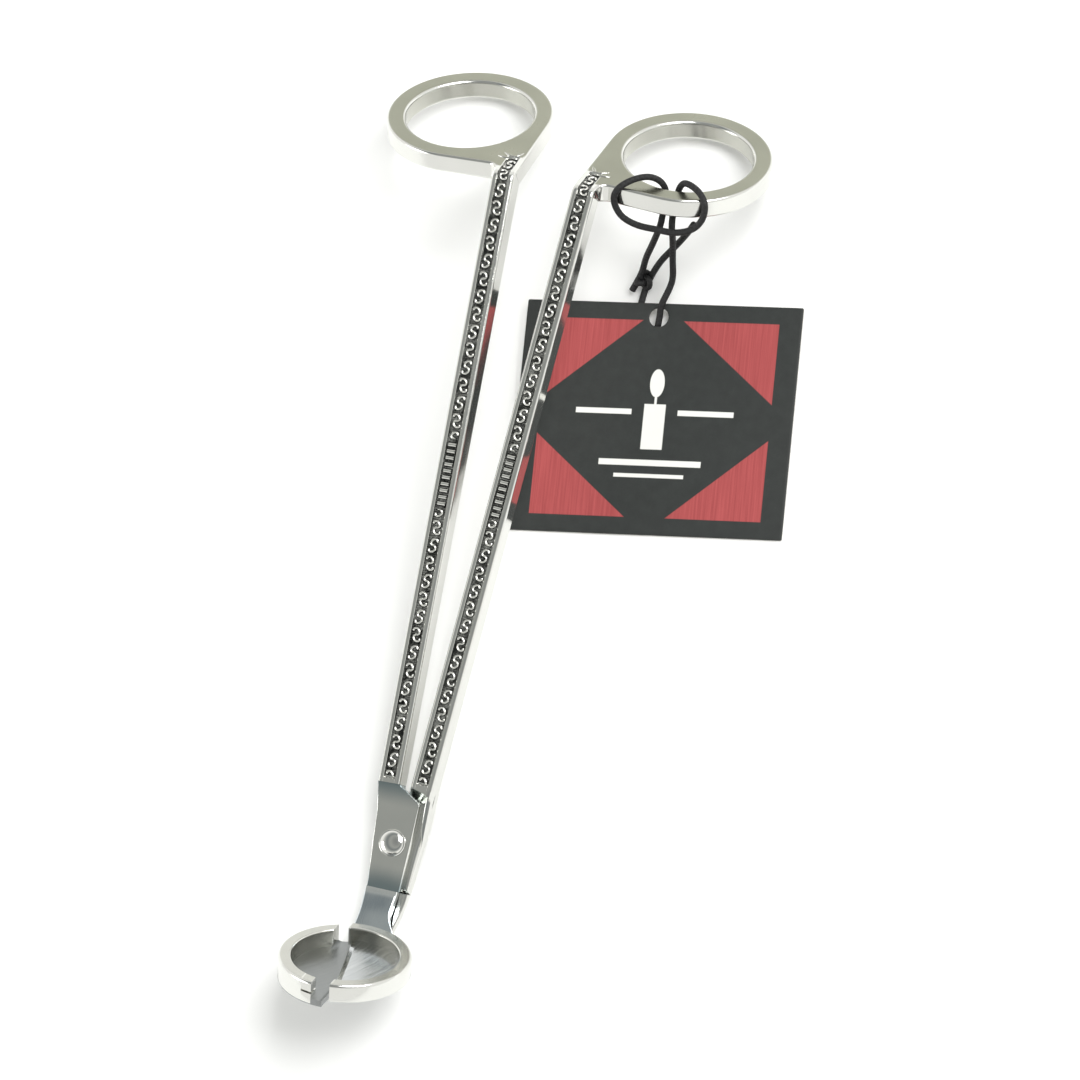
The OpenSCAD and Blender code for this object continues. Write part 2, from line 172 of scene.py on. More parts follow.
def finish_piece(obj, body, slot, *nodes):
    """Rides on its body and stands for its CAD nodes, which it hides; the slot is not used."""
    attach(obj, body)
    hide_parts(*nodes)
    return obj


print("lies tipped by", round(math.degrees(lie_angle), 2), "degrees")

# %% [markdown]
# The elastic is the one soft thing on the trimmer. It is a limp braided cord: it leaves its
# knot, runs down to the tag's hole, under the card, up again and twice over the lower side
# of the bow as a hitch. Its route repeats the measured points and a Catmull-Rom curve joins
# them, which passes through every point without sharp bends.

# %% The elastic cord
cord_points = np.array([
    [27, 64.4, 17], [25.2, 63.6, 13.5], [22.4, 62.2, 9], [19, 59.6, 5], [16.8, 57, 1.6],
    [16.2, 54.6, 0.75], [16.2, 51.2, 0.68], [16.4, 48.4, 0.68], [18.2, 46.5, 0.68],
    [20.2, 47.8, 0.68], [20.6, 50, 1.8], [20.8, 52.2, 3.2], [22, 56.4, 4.8],
    [22.2, 59.6, 8.6], [22.8, 61.8, 13.4], [23, 63, 16.2], [22.9, 65.2, 17.4],
    [23, 67.5, 17], [23.2, 69.6, 19], [24.8, 70.4, 21.4], [27.5, 69.4, 21.9],
    [29.4, 67.4, 21.8], [29.3, 65.2, 20], [27.6, 63.2, 18.5], [24.4, 62, 18],
    [20.6, 61.9, 18], [17, 62, 18.2], [14.2, 62.8, 19.4], [12.9, 64.6, 21.8],
    [13.6, 66.5, 23.5], [15.8, 68.9, 22.9], [18.4, 70.2, 21.8], [20.4, 69.8, 20],
    [21, 67.8, 17.4], [21, 65.2, 17.4], [20.7, 63, 16.2], [18.6, 61.2, 11],
    [16.6, 59.4, 6.4], [15.4, 57.2, 3], [14, 54.2, 1.2]]) * MM
cord_radius = 0.6 * MM


def smooth_route(p, steps, closed=False):
    """Catmull-Rom curve: a cubic between each two points that leaves along the line between
    the points before and after."""
    if closed:
        a, b, c, d = np.roll(p, 1, 0), p, np.roll(p, -1, 0), np.roll(p, -2, 0)
    else:
        q = np.concatenate([p[:1], p, p[-1:]])
        a, b, c, d = q[:-3], q[1:-2], q[2:-1], q[3:]
    t = (np.arange(steps) / steps)[:, None]
    a, b, c, d = (v[:, None, :] for v in (a, b, c, d))
    path = 0.5 * (2 * b + (c - a) * t + (2 * a - 5 * b + 4 * c - d) * t ** 2
                  + (3 * b - a - 3 * c + d) * t ** 3)
    path = path.reshape(-1, p.shape[1])
    return path if closed else np.concatenate([path, p[-1:]])


def tube(path, radius, around, closed=False):
    """Rings of a given radius round a path. Each ring's side direction is the last one with
    its part along the path taken out, so the tube doesn't twist. Returns the grid of points
    and how far along each ring lies."""
    nxt = np.roll(path, -1, 0) if closed else np.concatenate([path[1:], path[-1:]])
    prv = np.roll(path, 1, 0) if closed else np.concatenate([path[:1], path[:-1]])
    along = (nxt - prv) / np.linalg.norm(nxt - prv, axis=1, keepdims=True)
    side = np.zeros_like(path)
    last = np.cross(along[0], [0, 0, 1.0])
    for i, t in enumerate(along):
        last = last - last @ t * t
        side[i] = last = last / np.linalg.norm(last)
    other = np.cross(along, side)
    angle = np.arange(around) / around * 2 * np.pi
    rings = (path[:, None] + radius * (np.cos(angle)[None, :, None] * side[:, None]
                                       + np.sin(angle)[None, :, None] * other[:, None]))
    length = np.concatenate([[0], np.cumsum(np.linalg.norm(np.diff(path, axis=0), axis=1))])
    return rings, length


def wrap_uv(obj, columns, length, width):
    """UV map of a tube in millimetres: U round the tube, V along it. The face loops are
    walked once; a quad that crosses the seam takes the column after the last."""
    mesh = obj.data
    index = np.zeros(len(mesh.loops), int)
    mesh.loops.foreach_get("vertex_index", index)
    row, column = index // columns, (index % columns).astype(float)
    first = np.zeros(len(mesh.polygons), int)
    total = np.zeros(len(mesh.polygons), int)
    mesh.polygons.foreach_get("loop_start", first)
    mesh.polygons.foreach_get("loop_total", total)
    face = np.repeat(np.arange(len(total)), total)
    top = np.maximum.reduceat(column, first)
    low = np.minimum.reduceat(column, first)
    seam = (top - low)[face] > columns / 2
    column = np.where(seam & (column == 0), columns, column)
    uv = np.stack([column / columns * width, length[row]], 1) / MM
    layer = mesh.uv_layers.new(name="wrap")
    layer.data.foreach_set("uv", uv.astype(np.float32).ravel())


cord_path = smooth_route(cord_points, 8)
cord_rings, cord_along = tube(cord_path, cord_radius, 16)
elastic = make_mesh("elastic_loop", [(cord_rings, grid_faces(len(cord_path), 16, False))], 60)
wrap_uv(elastic, 16, cord_along, 2 * np.pi * cord_radius)
finish_piece(elastic, "rear_lever", "black_elastic", "elastic_cord")
print("cord length", round(cord_along[-1], 4), "m")

# %% [markdown]
# The knot is a real overhand knot, so it is a closed tube along a trefoil: two turns round
# in the time of three rises and falls. It is drawn up small, a little more than three
# cords across.

# %% The knot
knot_at = np.array([16, 56.3, 2.05]) * MM
turn = np.linspace(0, 2 * np.pi, 96, endpoint=False)
knot_path = np.stack([np.sin(turn) + 2 * np.sin(2 * turn), np.cos(turn) - 2 * np.cos(2 * turn),
                      -1.5 * np.sin(3 * turn)], 1) * 0.5 * MM
knot_path = knot_path @ np.array([[0.57, 0.82, 0], [-0.82, 0.57, 0], [0, 0, 1]]) + knot_at
knot_rings, _ = tube(knot_path, 0.52 * MM, 14, closed=True)
knot = make_mesh("overhand_knot", [(knot_rings, grid_faces(96, 14, True))], 60)
knot_along = np.arange(96) * 0.22 * MM
wrap_uv(knot, 14, knot_along, 2 * np.pi * 0.5 * MM)
finish_piece(knot, "rear_lever", "black_elastic", "cord_knot")

# %% [markdown]
# The tag is an oblong of card with a punched hole. Its outline is seen from the hole as a
# distance in each direction, so the card is a ring of profiles round the hole: up the
# hole's wall, out over the printed face, round the cut edge and back underneath. A real
# card is never quite flat, so it bows by a few tenths of a millimetre.

# %% The hang tag
tag_width, tag_height, tag_thickness = 51.5, 43.0, 0.45
tag_hole_radius, tag_hole_drop, tag_lift = 1.8, 2.6, 1.6
tag_hole_side = 1.0
tag_turn = math.radians(9.4)
tag_slope = math.asin(tag_lift / tag_height)
tag_hole_at = np.array([20.5, 50.1, 0])


def card_outline(width, low, high, middle, corner=0.3, steps=5):
    """Corners of a card with barely rounded corners, in order, with points along its sides."""
    parts = []
    half = width / 2 - corner
    for side, cy, a0 in ((1, low + corner, -90), (1, high - corner, 0),
                         (-1, high - corner, 90), (-1, low + corner, 180)):
        a = np.radians(np.linspace(a0, a0 + 90, steps))
        parts.append([middle + side * half, cy] + corner * np.stack([np.cos(a), np.sin(a)], 1))
    loop = np.concatenate(parts)
    far_on = np.roll(loop, -1, 0)
    gaps = np.linalg.norm(far_on - loop, axis=1)
    filled = [p + (q - p) * np.linspace(0, 1, max(1, int(g / 1.5)), endpoint=False)[:, None]
              for p, q, g in zip(loop, far_on, gaps)]
    return np.concatenate(filled)


tag_edge = card_outline(tag_width, tag_hole_drop - tag_height, tag_hole_drop, tag_hole_side)
tag_dir = tag_edge / np.linalg.norm(tag_edge, axis=1, keepdims=True)
tag_steps = [(0, 0.06), (0, 0.39), (0.02, tag_thickness)]
tag_steps += [(t, tag_thickness) for t in np.linspace(0.04, 0.98, 24)]
tag_steps += [(0.996, tag_thickness), (1, 0.41), (1, 0.04), (0.996, 0)]
tag_steps += [(t, 0) for t in np.linspace(0.98, 0.04, 24)] + [(0.02, 0)]
tag_share, tag_level = np.array(tag_steps).T
tag_flat = (tag_hole_radius * tag_dir)[:, None] * (1 - tag_share)[None, :, None] \
    + tag_edge[:, None] * tag_share[None, :, None]


def bow_card(x, y):
    """Height that the card bows by: a slow wave across, highest near the middle."""
    return 0.1 * np.cos(x / 26 * np.pi / 2) * np.sin(np.clip((tag_hole_drop - y) / tag_height, 0, 1)
                                                    * np.pi)


tag_z = np.broadcast_to(tag_level, tag_flat.shape[:2]) + bow_card(tag_flat[..., 0], tag_flat[..., 1])
tag_local = np.dstack([tag_flat, tag_z])


def tag_place(p):
    """Tips the card so that its top edge rests on the cord, turns it and sets it down."""
    c, s = math.cos(tag_slope), math.sin(tag_slope)
    q = np.stack([p[..., 0], p[..., 1] * c - p[..., 2] * s, p[..., 1] * s + p[..., 2] * c], -1)
    c, s = math.cos(tag_turn), math.sin(tag_turn)
    q = np.stack([q[..., 0] * c - q[..., 1] * s, q[..., 0] * s + q[..., 1] * c, q[..., 2]], -1)
    lift = (tag_height - tag_hole_drop) * math.sin(tag_slope)
    return (q + tag_hole_at + np.array([0, 0, lift])) * MM


hang_tag = make_mesh("printed_tag", [(tag_place(tag_local),
                                      grid_faces(len(tag_edge), len(tag_share), True))], 40)
tag_uv = np.stack([(tag_flat[..., 0] - tag_hole_side + tag_width / 2) / tag_width,
                   (tag_flat[..., 1] - tag_hole_drop + tag_height) / tag_height], -1).reshape(-1, 2)
loop_index = np.zeros(len(hang_tag.data.loops), int)
hang_tag.data.loops.foreach_get("vertex_index", loop_index)
hang_tag.data.uv_layers.new(name="print").data.foreach_set(
    "uv", tag_uv[loop_index].astype(np.float32).ravel())
face_up = hang_tag.data.attributes.new("printed", "FLOAT", "POINT")
face_up.data.foreach_set("value", (np.broadcast_to(tag_level, tag_flat.shape[:2]) > 0.3)
                         .astype(np.float32).ravel())
finish_piece(hang_tag, "rear_lever", "printed_card", "hang_tag")

# %% [markdown]
# Each arm is one square bar with soft corners, sunk in front into a long channel, and it
# bends back at the crease where the finger bow starts. We carry one profile along it. A
# point of the profile is a distance across and a depth; near the crease every depth turns
# on the mitre plane, as in a picture frame's corner, and a short curve rounds the turn.

# %% Measures of the arms and bows
arm_offset, arm_start, arm_length = 2.7, 10.5, 121.7
arm_width, arm_front, arm_back = 4.2, 2.4, -1.95
arm_thickness = arm_front - arm_back
bow_thickness, bow_reach, bow_bore_radius, bow_radius = 3.7, 3.0, 11.7, 15.15
bow_angle = math.radians(51)
bow_along = np.array([math.cos(bow_angle), -math.sin(bow_angle)])    # (Y, Z) along the bow
bow_out = np.array([math.sin(bow_angle), math.cos(bow_angle)])       # (Y, Z) out of its face
mitre_run = (arm_thickness - bow_thickness * math.cos(bow_angle)) / math.sin(bow_angle)
mitre_back = -bow_thickness * bow_out + mitre_run * bow_along        # from the front crease
channel_half, channel_depth, channel_over = 1.12, 0.45, 5.9


def follow_arm(x, s, share):
    """Points at distance s from the pivot along the front, at a share of the depth from the
    front (0) to the back (1). Before the crease they lie under the arm's front, beyond it
    under the bow's; both meet on the mitre line, which is rounded by a quadratic curve."""
    x, s, share = np.broadcast_arrays(x, s, share)
    corner_y = arm_length + mitre_back[0] * share
    corner_z = arm_front + mitre_back[1] * share
    reach = 3.2
    before = np.clip((s - (arm_length - reach)) / reach, 0, None)
    arm_y = np.where(before > 0, arm_length - reach + (reach + mitre_back[0] * share) * before, s)
    arm_z = arm_front - arm_thickness * share
    beyond = s - arm_length
    start = mitre_run * share
    run = np.maximum(beyond, start + 0.002 * beyond)
    bow_y = arm_length + run * bow_along[0] - bow_thickness * share * bow_out[0]
    bow_z = arm_front + run * bow_along[1] - bow_thickness * share * bow_out[1]
    y, z = np.where(beyond < 0, arm_y, bow_y), np.where(beyond < 0, arm_z, bow_z)
    w = 1.0                                               # the rounding starts this far away
    t = np.clip((beyond + w) / (2 * w), 0, 1)
    near = (np.abs(beyond) < w) & (share < 0.3)
    ay, az = corner_y - w, corner_z
    by, bz = corner_y + w * bow_along[0], corner_z + w * bow_along[1]
    curve_y = (1 - t) ** 2 * ay + 2 * t * (1 - t) * corner_y + t ** 2 * by
    curve_z = (1 - t) ** 2 * az + 2 * t * (1 - t) * corner_z + t ** 2 * bz
    return np.stack([x, np.where(near, curve_y, y), np.where(near, curve_z, z)], -1)


def corner_points(cx, cy, r, start, stop, count):
    """Points of an arc about (cx, cy), from one angle to another in degrees."""
    a = np.radians(np.linspace(start, stop, count))
    return [(cx + r * math.cos(v), cy + r * math.sin(v)) for v in a]


def bar_profile(half, depth, rounding, back_rounding):
    """Right half of the bar's profile as (across, depth, sunk): the floor of the channel,
    its wall, the flat rail, the soft corner, the side and the back. Sunk points go down
    only where there is a channel."""
    tight = 0.02
    front = [(0.0, 0.0, 1), (channel_half - 0.12, 0.0, 1), (channel_half - 0.04, 0.0, 1),
             (channel_half, 0.04, 0), (channel_half + 0.05, 0.0, 0), (channel_half + 0.09, 0.0, 0),
             (half - rounding - tight, 0.0, 0)]
    outer = [(x, rounding - d, 0) for x, d in
             corner_points(half - rounding, 0, rounding, 90, 0, 7)]
    lower = [(x, depth - back_rounding - d, 0) for x, d in
             corner_points(half - back_rounding, 0, back_rounding, 0, -90, 6)]
    back = [(half - back_rounding - tight, depth, 0), (0.6, depth, 0)]
    return front + outer + [(half, rounding + tight, 0), (half, depth - back_rounding - tight, 0)] \
        + lower + back


half_profile = np.array(bar_profile(arm_width / 2, arm_thickness, 0.55, 0.5))
mirrored = half_profile[::-1] * [-1, 1, 1]
mirrored = mirrored[np.abs(mirrored[:, 0]) > 1e-9]
bar_ring = np.concatenate([half_profile, mirrored])
print("bar profile:", len(bar_ring), "points round")

# %% The two arms
strip_right, strip_from, strip_to = 1.25, 2.35, 6.0
fillet = 1.7


def channel_floor(s):
    """How deep the channel is: nothing, then quickly its depth, then nothing again."""
    low = smoothstep((s - (arm_start + 0.75)) / 0.25)
    high = smoothstep((arm_length + channel_over - s) / 0.2)
    return channel_depth * low * high


def fillet_edge(run):
    """How far out the bar's outer side is beyond the crease: straight, then along the quarter
    circle of the hollow corner where the bow's web begins."""
    rise = np.clip(run - (bow_reach - fillet), 0, fillet * 0.98)
    return arm_width / 2 + fillet - np.sqrt(fillet ** 2 - rise ** 2)


def arm_shell(side):
    """The bar's profile at each station along the front, channel and all. Past the crease
    it narrows to the strip that carries the channel's end across the bow's face."""
    s = np.concatenate([
        [arm_start, arm_start + 0.05], arm_start + np.linspace(0.7, 1.1, 9),
        np.linspace(12, arm_length - 3.3, 60), arm_length + np.linspace(-3.2, -1.05, 6),
        arm_length + np.linspace(-1, 1, 13), [arm_length + strip_from - 0.03,
                                             arm_length + strip_from]])
    strip = arm_length + np.concatenate([[strip_from], np.linspace(strip_from + 0.05, 5.6, 8),
                                         np.linspace(5.68, 5.94, 8), [strip_to]])
    s = np.concatenate([s, strip])[:, None]
    x = np.broadcast_to(bar_ring[:, 0], (len(s), len(bar_ring))).copy()
    x[-len(strip):] = np.minimum(x[-len(strip):], strip_right)
    depth = bar_ring[None, :, 1] + bar_ring[None, :, 2] * channel_floor(s)
    run = np.maximum(s - arm_length, mitre_run * depth / arm_thickness * (s > arm_length))
    x = np.where(x > 1.26, 1.26 + (x - 1.26) * (fillet_edge(run) - 1.26) / (arm_width / 2 - 1.26), x)
    return on_arm(side, follow_arm(x, s, depth / arm_thickness)).reshape(-1, 3), \
        grid_faces(len(s), len(bar_ring), False)


front_arm = make_mesh("front_arm", [arm_shell(FRONT)], 24)
rear_arm = make_mesh("rear_arm", [arm_shell(REAR)], 24)
finish_piece(front_arm, "front_lever", "polished_steel", "front_shank")
finish_piece(rear_arm, "rear_lever", "polished_steel", "rear_shank")

# %% [markdown]
# The channel holds a cast band of small S-shaped scrolls that turn alternately left and
# right, with a short reeded plate half way. The band is a height field: one scroll's height
# is worked out on a small grid from the distance to its centreline, and the whole band
# repeats it. Polished tops and dark hollows are then told apart by that same height, which
# is kept as an attribute for the finish.

# %% The scroll bands
scroll_pitch, scroll_rows, band_columns = 3.25, 26, 19
band_half, relief_height = 1.08, 0.4
reed_half, reed_pitch = 5.95, 1.19


def scroll_line():
    """Centreline of one S: two hooks whose radius shrinks towards the tip, the lower one the
    upper one turned half round."""
    a = np.radians(np.linspace(20, 270, 60))
    grow = 0.8 + 0.2 * np.clip((np.degrees(a) - 20) / 90, 0, 1)
    r = 0.6 * grow
    upper = np.stack([1.05 * r * np.cos(a), 0.6 + r * np.sin(a)], 1)
    line = np.concatenate([upper, -upper[::-1]])
    return line @ np.array([[1, 0], [0.28, 1]])


def band_height(x, y):
    """Height of the band at x across and y along, in millimetres: a rounded ridge along the
    scroll's centreline."""
    k = np.floor(y / scroll_pitch)
    local_y = y - (k + 0.5) * scroll_pitch
    local_x = np.where(k % 2 == 0, x, -x)
    line = scroll_line()
    gap = np.sqrt((local_x[..., None] - line[:, 0]) ** 2 + (local_y[..., None] - line[:, 1]) ** 2)
    gap = gap.min(-1)
    return np.sqrt(np.clip(1 - (gap / 0.23) ** 2, 0, 1))


def reed_height(x, y):
    """Height of the reeded plate: rounded bars across, between two plain ends."""
    wave = np.abs((y / reed_pitch) % 1 - 0.5) * 2
    bar = np.sqrt(np.clip(1 - (wave / 0.62) ** 2, 0, 1))
    return bar * smoothstep((0.86 - np.abs(x)) / 0.12)


band_s = np.arange(arm_start + 1.1, arm_length + channel_over - 0.25, scroll_pitch / scroll_rows)
band_x = np.linspace(-band_half, band_half, band_columns)
band_middle = (arm_start + 1.1 + arm_length) / 2
along_band, across_band = np.meshgrid(band_s, band_x, indexing="ij")
from_middle = along_band - band_middle
scrolls = band_height(across_band, from_middle + 200.5 * scroll_pitch)
in_reed = smoothstep((reed_half - np.abs(from_middle)) / 0.1)
band_relief = scrolls * (1 - smoothstep((reed_half + 0.5 - np.abs(from_middle)) / 0.1)) \
    + reed_height(across_band, from_middle) * in_reed
band_relief[:, [0, -1]] = 0


def scroll_band(side, name, body, node):
    """The height field over a thin slab that sits on the channel's floor."""
    top = channel_depth - relief_height * band_relief
    x = np.concatenate([across_band, across_band[:, ::-1][:, [0, 9, 18]]], 1)
    depth = np.concatenate([top, np.full((len(band_s), 3), channel_depth + 0.06)], 1)
    depth[[0, -1]] = channel_depth + 0.02
    ends = np.maximum(depth, 0.02) / arm_thickness
    points = on_arm(side, follow_arm(x * (1 if side == REAR else -1), along_band[:, :1], ends))
    obj = make_mesh(name, [(points, grid_faces(len(band_s), band_columns + 3, False))], 50)
    height = np.concatenate([band_relief, np.zeros((len(band_s), 3))], 1)
    obj.data.attributes.new("relief", "FLOAT", "POINT").data.foreach_set(
        "value", height.astype(np.float32).ravel())
    return finish_piece(obj, body, "scroll_relief", node)


front_band = scroll_band(FRONT, "front_scroll_band", "front_lever", "front_scrollwork")
rear_band = scroll_band(REAR, "rear_scroll_band", "rear_lever", "rear_scrollwork")

# %% [markdown]
# A finger bow is a flat ring that grows out of the arm through a small web. Seen from the
# ring's centre, the outer outline is met once in each direction, so the whole bow is one
# ring of profiles: each joins a point of the bore to the outline's point in the same
# direction. Only the seen edges are rounded; where the bow meets the arm it stays square,
# so that the two faces close without a groove.

# %% The finger bows
bow_centre = np.array([bow_radius - arm_width / 2, bow_reach + bow_radius])
web_corner = float(fillet_edge(strip_from))


def bow_outline():
    """Points of the outer outline in order, and for each the way a rounded edge moves in."""
    half = arm_width / 2
    a = np.radians(np.linspace(-90, 180, 130))
    ring = np.stack([np.cos(a), np.sin(a)], 1)
    pieces = [(bow_centre + bow_radius * ring, -ring)]
    y = np.linspace(bow_centre[1], strip_to, 14)[1:]
    pieces.append((np.stack([np.full(13, -half), y], 1), np.tile([1.0, 0.0], (13, 1))))
    t = np.array([0.25, 0.5, 0.75, 1.0])
    pieces.append((np.stack([-half + (strip_right + half) * t, np.full(4, strip_to)], 1),
                   np.stack([1 - t, np.zeros(4)], 1)))
    y = np.linspace(strip_to, strip_from, 7)[1:]
    pieces.append((np.stack([np.full(6, strip_right), y], 1), np.zeros((6, 2))))
    t = np.array([0.5, 1.0])
    pieces.append((np.stack([strip_right + (web_corner - strip_right) * t, np.full(2, strip_from)], 1),
                   np.stack([-1.4 * t, np.zeros(2)], 1)))
    low = bow_reach - fillet
    a = np.radians(np.linspace(180 - math.degrees(math.asin((strip_from - low) / fillet)), 90, 10))[1:]
    hollow = np.stack([np.cos(a), np.sin(a)], 1)
    blend = np.linspace(0.35, 1, 9)[:, None] ** 0.5
    pieces.append((np.array([half + fillet, low]) + fillet * hollow,
                   hollow * blend + np.array([-1.4, 0]) * (1 - blend)))
    x = np.linspace(half + fillet, bow_centre[0], 16)[1:-1]
    pieces.append((np.stack([x, np.full(14, bow_reach)], 1), np.tile([0.0, 1.0], (14, 1))))
    return np.concatenate([p for p, _ in pieces]), np.concatenate([d for _, d in pieces])


def bow_profile(r, thickness):
    """Stops of one profile: share of the way from bore to outline, how far in from the
    bore's and from the outline's edge, and depth."""
    arc = np.radians(np.linspace(0, 90, 7))
    r0 = r * 1.3                                                  # the bore's edge is softer
    stops = [(0, r0 * (1 - math.cos(v)), 0, r0 * (1 - math.sin(v))) for v in arc]
    stops += [(t, r0, r, 0) for t in (0.01, 0.25, 0.5, 0.75, 0.99)]
    stops += [(1, 0, r * (1 - math.cos(v)), r * (1 - math.sin(v))) for v in arc[::-1]]
    stops += [(1, 0, 0, r * 1.05), (1, 0, 0, thickness - r * 1.05)]
    stops += [(1, 0, r * (1 - math.cos(v)), thickness - r * (1 - math.sin(v))) for v in arc]
    stops += [(t, r0, r, thickness) for t in (0.99, 0.5, 0.01)]
    stops += [(0, r0 * (1 - math.cos(v)), 0, thickness - r0 * (1 - math.sin(v)))
              for v in arc[::-1]]
    stops += [(0, 0, 0, thickness - r0 * 1.03), (0, 0, 0, r0 * 1.03)]
    return np.array(stops)


def bow_shell(side):
    outline, inset = bow_outline()
    away = outline - bow_centre
    direction = away / np.linalg.norm(away, axis=1, keepdims=True)
    share, bore_in, edge_in, depth = bow_profile(0.5, bow_thickness).T
    bore = bow_centre + direction[:, None] * (bow_bore_radius + bore_in)[None, :, None]
    edge = outline[:, None] + inset[:, None] * edge_in[None, :, None]
    flat = bore * (1 - share)[None, :, None] + edge * share[None, :, None]
    run = np.maximum(flat[..., 1], mitre_run * depth / bow_thickness)
    y = arm_length + run * bow_along[0] - depth * bow_out[0]
    z = arm_front + run * bow_along[1] - depth * bow_out[1]
    return on_arm(side, np.stack([flat[..., 0], y, z], -1)), \
        grid_faces(len(outline), len(depth), True)


def on_bow(side, x, y, out):
    """Points on the bow's face: across, along it from the crease, and out of it."""
    x, y, out = np.broadcast_arrays(x, y, out)
    return on_arm(side, np.stack([x, arm_length + y * bow_along[0] + out * bow_out[0],
                                  arm_front + y * bow_along[1] + out * bow_out[1]], -1))


def leaf_shell(side, root, tip, width, height):
    """A small raised leaf: a half-round ridge from root to tip that narrows at both ends."""
    t = np.linspace(0, 1, 14)[:, None]
    root, tip = np.array(root), np.array(tip)
    way = (tip - root) / np.linalg.norm(tip - root)
    across = np.array([-way[1], way[0]])
    w = width * np.sin(np.pi * np.clip(t, 0.04, 0.96)) ** 0.7
    a = np.radians(np.linspace(0, 180, 9))[None, :]
    centre = root + (tip - root) * t
    x = centre[:, :1] + across[0] * w * np.cos(a)
    y = centre[:, 1:] + across[1] * w * np.cos(a)
    out = height * np.sin(a) * np.sin(np.pi * np.clip(t, 0.04, 0.96)) ** 0.5 - 0.02
    return on_bow(side, x, y, out), grid_faces(14, 9, False)


def bow_leaves(side):
    """The flared end of the channel: two leaves that part like a tulip, and a bar across."""
    return [leaf_shell(side, (0.2, 5.9), (2.2, 6.9), 0.34, 0.22),
            leaf_shell(side, (-0.1, 5.9), (-1.3, 7.6), 0.34, 0.22),
            leaf_shell(side, (0.6, 5.3), (2.9, 5.6), 0.3, 0.2),
            leaf_shell(side, (-1.2, 6.1), (1.3, 6.1), 0.24, 0.18)]


def mark_shade_and_satin(obj, direction, share=1.0, middle=None, inner_share=0.6):
    """How much each point's surface faces the direction, nought where it turns away. With a
    middle point, walls that face it are marked too. The marks paint shade, a darker colour,
    on those faces, and add a little roughness."""
    normals = np.zeros(3 * len(obj.data.vertices))
    obj.data.vertex_normals.foreach_get("vector", normals)
    normals = normals.reshape(-1, 3)
    facing = normals @ (np.array(direction) / np.linalg.norm(direction))
    marks = share * np.clip((facing - 0.88) / 0.1, 0, 1)
    if middle is not None:
        points = np.zeros(normals.size)
        obj.data.vertices.foreach_get("co", points)
        inward = middle - points.reshape(-1, 3)
        inward /= np.linalg.norm(inward, axis=1, keepdims=True)
        inward = np.sum(inward * normals, axis=1)
        marks = np.maximum(marks, inner_share * np.clip((inward - 0.8) / 0.15, 0, 1))
    obj.data.attributes.new("flats", "FLOAT", "POINT").data.foreach_set(
        "value", marks.astype(np.float32))


front_ring = make_mesh("front_finger_bow", [bow_shell(FRONT)] + bow_leaves(FRONT), 30)
rear_ring = make_mesh("rear_finger_bow", [bow_shell(REAR)] + bow_leaves(REAR), 30)
# Painted shade: the bows' front flats and the walls of the bore are marked for a darker colour.
for ring, side, lean in ((front_ring, FRONT, 0.03), (rear_ring, REAR, -0.03)):
    ring_middle = on_bow(side, bow_centre[0], bow_centre[1], -bow_thickness / 2)
    mark_shade_and_satin(ring, (lean, 0.667, 0.744), 1.0, ring_middle.reshape(-1, 3)[0], 0.55)
finish_piece(front_ring, "front_lever", "polished_steel", "front_bow")
finish_piece(rear_ring, "rear_lever", "polished_steel", "rear_bow")

# %% [markdown]
# At the pivot each lever thins to half its depth, so that the two plates lie on each other.
# A plate is seen from the rivet as a distance in each direction, found by running a ray to
# its outline. The thick arm of the other lever is scooped out in a cone, and the plate's
# shoulder is undercut to the same cone, so nothing meets however far the levers swing.

# %% The lapped plates
plate_top, lap_gap = 1.95, 0.03
cone_low, cone_high = 8.65, 10.35
neck_start = 8.4


def ray_distance(outline, angle):
    """How far from the pivot the outline lies in each direction: the nearest crossing of the
    ray with the outline's sides that lies ahead."""
    p, q = outline, np.roll(outline, -1, 0)
    d = np.stack([np.cos(angle), np.sin(angle)], 1)[:, None]
    side = (q - p)[None]
    det = d[..., 0] * -side[..., 1] + d[..., 1] * side[..., 0]
    with np.errstate(divide="ignore", invalid="ignore"):
        ahead = (p[None, :, 0] * -side[..., 1] + p[None, :, 1] * side[..., 0]) / det
        along = (d[..., 0] * p[None, :, 1] - d[..., 1] * p[None, :, 0]) / det
    ahead = np.where((along >= -1e-9) & (along <= 1 + 1e-9) & (ahead > 0), ahead, np.inf)
    return ahead.min(1)


def plate_outline(outer, neck_outer, neck_inner):
    """Corners of a plate whose arm is on the +X side."""
    c, s = math.cos(open_angle), math.sin(open_angle)
    near, wide = arm_offset - arm_width / 2, arm_offset + arm_width / 2
    return np.array([
        [wide * c + arm_start * s, arm_start * c - wide * s], [outer + 0.35, 5.0], [outer, 0],
        [neck_outer, -neck_start], [-neck_inner, -neck_start], [-3.35, 0], [-3.35, 7.85],
        [near * c + arm_start * s, arm_start * c - near * s]])


lap_round = 1.35


